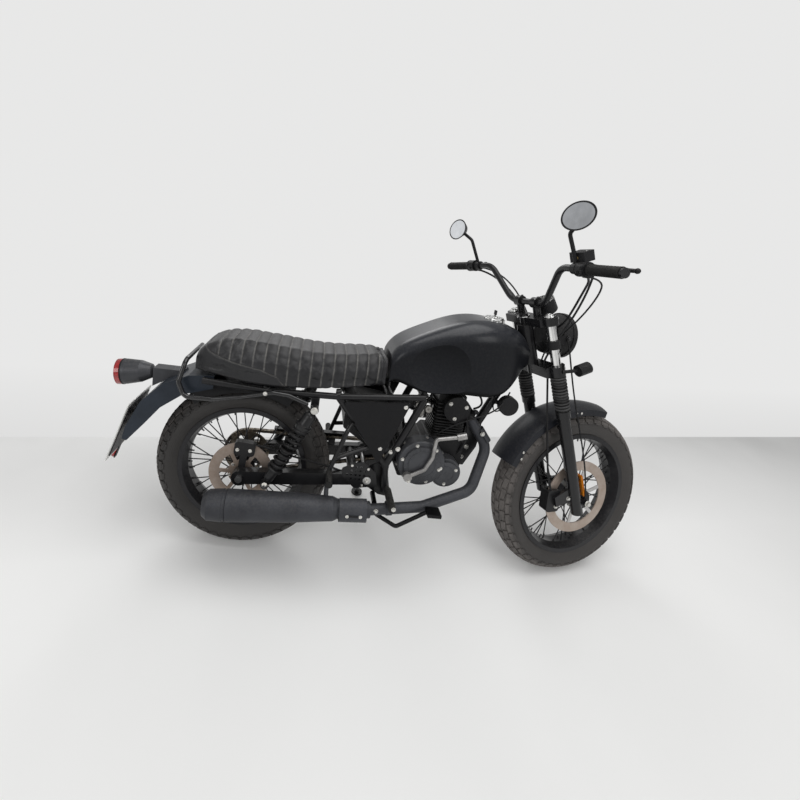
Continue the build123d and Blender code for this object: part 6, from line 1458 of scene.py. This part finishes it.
class MakeTailDetails(Operator):
    """Add the tail lamp's red ring, the plate's screws and its raised edge"""
    bl_idname = "scrambler.tail_details"
    bl_label = "Tail details"

    def execute(self, context):
        tilt = radians(8)
        end = facing((-462, 0, 606), (-cos(tilt), 0, -sin(tilt)))
        red, dark, white = Piece(BIKE), Piece(BIKE), Piece(BIKE)
        red.stamp(turned([
            (43.6, -17), (44.8, -16), (45.0, -8), (44.8, -0.5), (42, -0.2), (42, -3), (43.6, -5),
            (43.6, -17),
        ], 56), end)
        dark.stamp(turned([
            (43.8, -21), (45.4, -20.4), (45.4, -17.6), (43.8, -17), (43.8, -21),
        ], 56), end)
        plate = Matrix.Translation((-384, 0, 530)) @ Matrix.Rotation(radians(18), 4, "Y")
        for y, z, wide, high in PLATE_EDGES:
            edge = block((0.8, wide, high), 0.35)
            white.stamp(edge, plate @ Matrix.Translation((-3.2, y, z)))
        screw = socket_head(5, 2)
        for y in (-60, 60):
            dark.stamp(screw, plate @ facing((-3, y, -18), (-1, 0, 0)))
        red.done("lamp_ring", "chassis", "red_lens", "red_lens")
        dark.done("tail_trim", "chassis", "control_black", "control_black")
        white.done("plate_edge", "chassis", "plate_white", "plate_white")
        return {"FINISHED"}


# bead radius, disc plane and radius of the ring of carrier bolts
WHEEL_DETAILS = {"front": (230, -62, 46), "rear": (217, -76, 40)}
SPOKES = 36


class MakeWheelDetails(Operator):
    """Add spoke nipples, the disc's bolts and the tyre valves"""
    bl_idname = "scrambler.wheel_details"
    bl_label = "Wheel details"

    def execute(self, context):
        for wheel, (bead, disc, ring) in WHEEL_DETAILS.items():
            bright, dark = Piece(WHEELS[wheel]), Piece(WHEELS[wheel])
            nipple = turned([(0, 0), (3.4, 0), (3.4, 5), (2.6, 6), (2.6, 12), (0, 12)], 8)
            for k in range(SPOKES):
                angle = (k + 0.5) * tau / SPOKES
                out = Vector((cos(angle), 0, sin(angle)))
                side = 1 if k % 2 else -1
                spot = out * (bead - 18.5) + Vector((0, side * 8, 0))
                dark.stamp(nipple, facing(spot, -out + Vector((0, side * 0.12, 0))))
            head = socket_head(5, 3)
            for x, z in round_of(0, 0, ring, 6, 0.3):
                bright.stamp(head, facing((x, disc - 2, z), (0, -1, 0)))
            valve = turned([(0, 0), (4.5, 0), (3, 4), (2.6, 26), (3.4, 27), (3.4, 34), (0, 35)], 12)
            dark.stamp(valve, facing((0, 0, -(bead - 20)), (0, 0.2, 1)))
            bright.done(wheel + "_disc_bolts", wheel + "_wheel", "bolt_zinc", "bright_metal")
            dark.done(wheel + "_nipples", wheel + "_wheel", "bolt_dark", "spoke_steel")
        return {"FINISHED"}


# Panel and run
STEPS = (
    MakeStage, MakeFinishes, MakeTyres, MakeSeat, MakeShocks, MakeChain, MakeBolts, MakeGrips,
    MakeDial, MakeForkDetails, MakeLines, MakeEngineDetails, MakeExhaustDetails, MakeTankDetails,
    MakeTailDetails, MakeWheelDetails,
)


class ScramblerPanel(Panel):
    """Lists the makers of the motorcycle's pieces"""
    bl_idname = "VIEW3D_PT_scrambler"
    bl_label = "Scrambler motorcycle"
    bl_space_type = "VIEW_3D"
    bl_region_type = "UI"
    bl_category = "Scrambler"

    def draw(self, context):
        for key in ScramblerLooks.__annotations__:
            self.layout.prop(context.scene.scrambler, key)
        for step in STEPS:
            self.layout.operator(step.bl_idname)


def register():
    for kind in (ScramblerLooks, *STEPS, ScramblerPanel):
        bpy.utils.register_class(kind)
    bpy.types.Scene.scrambler = PointerProperty(type=ScramblerLooks)


def unregister():
    del bpy.types.Scene.scrambler
    for kind in (ScramblerPanel, *reversed(STEPS), ScramblerLooks):
        bpy.utils.unregister_class(kind)


def main():
    register()
    for step in STEPS:
        getattr(bpy.ops.scrambler, step.bl_idname.split(".")[1])()


if __name__ == "__main__":
    main()
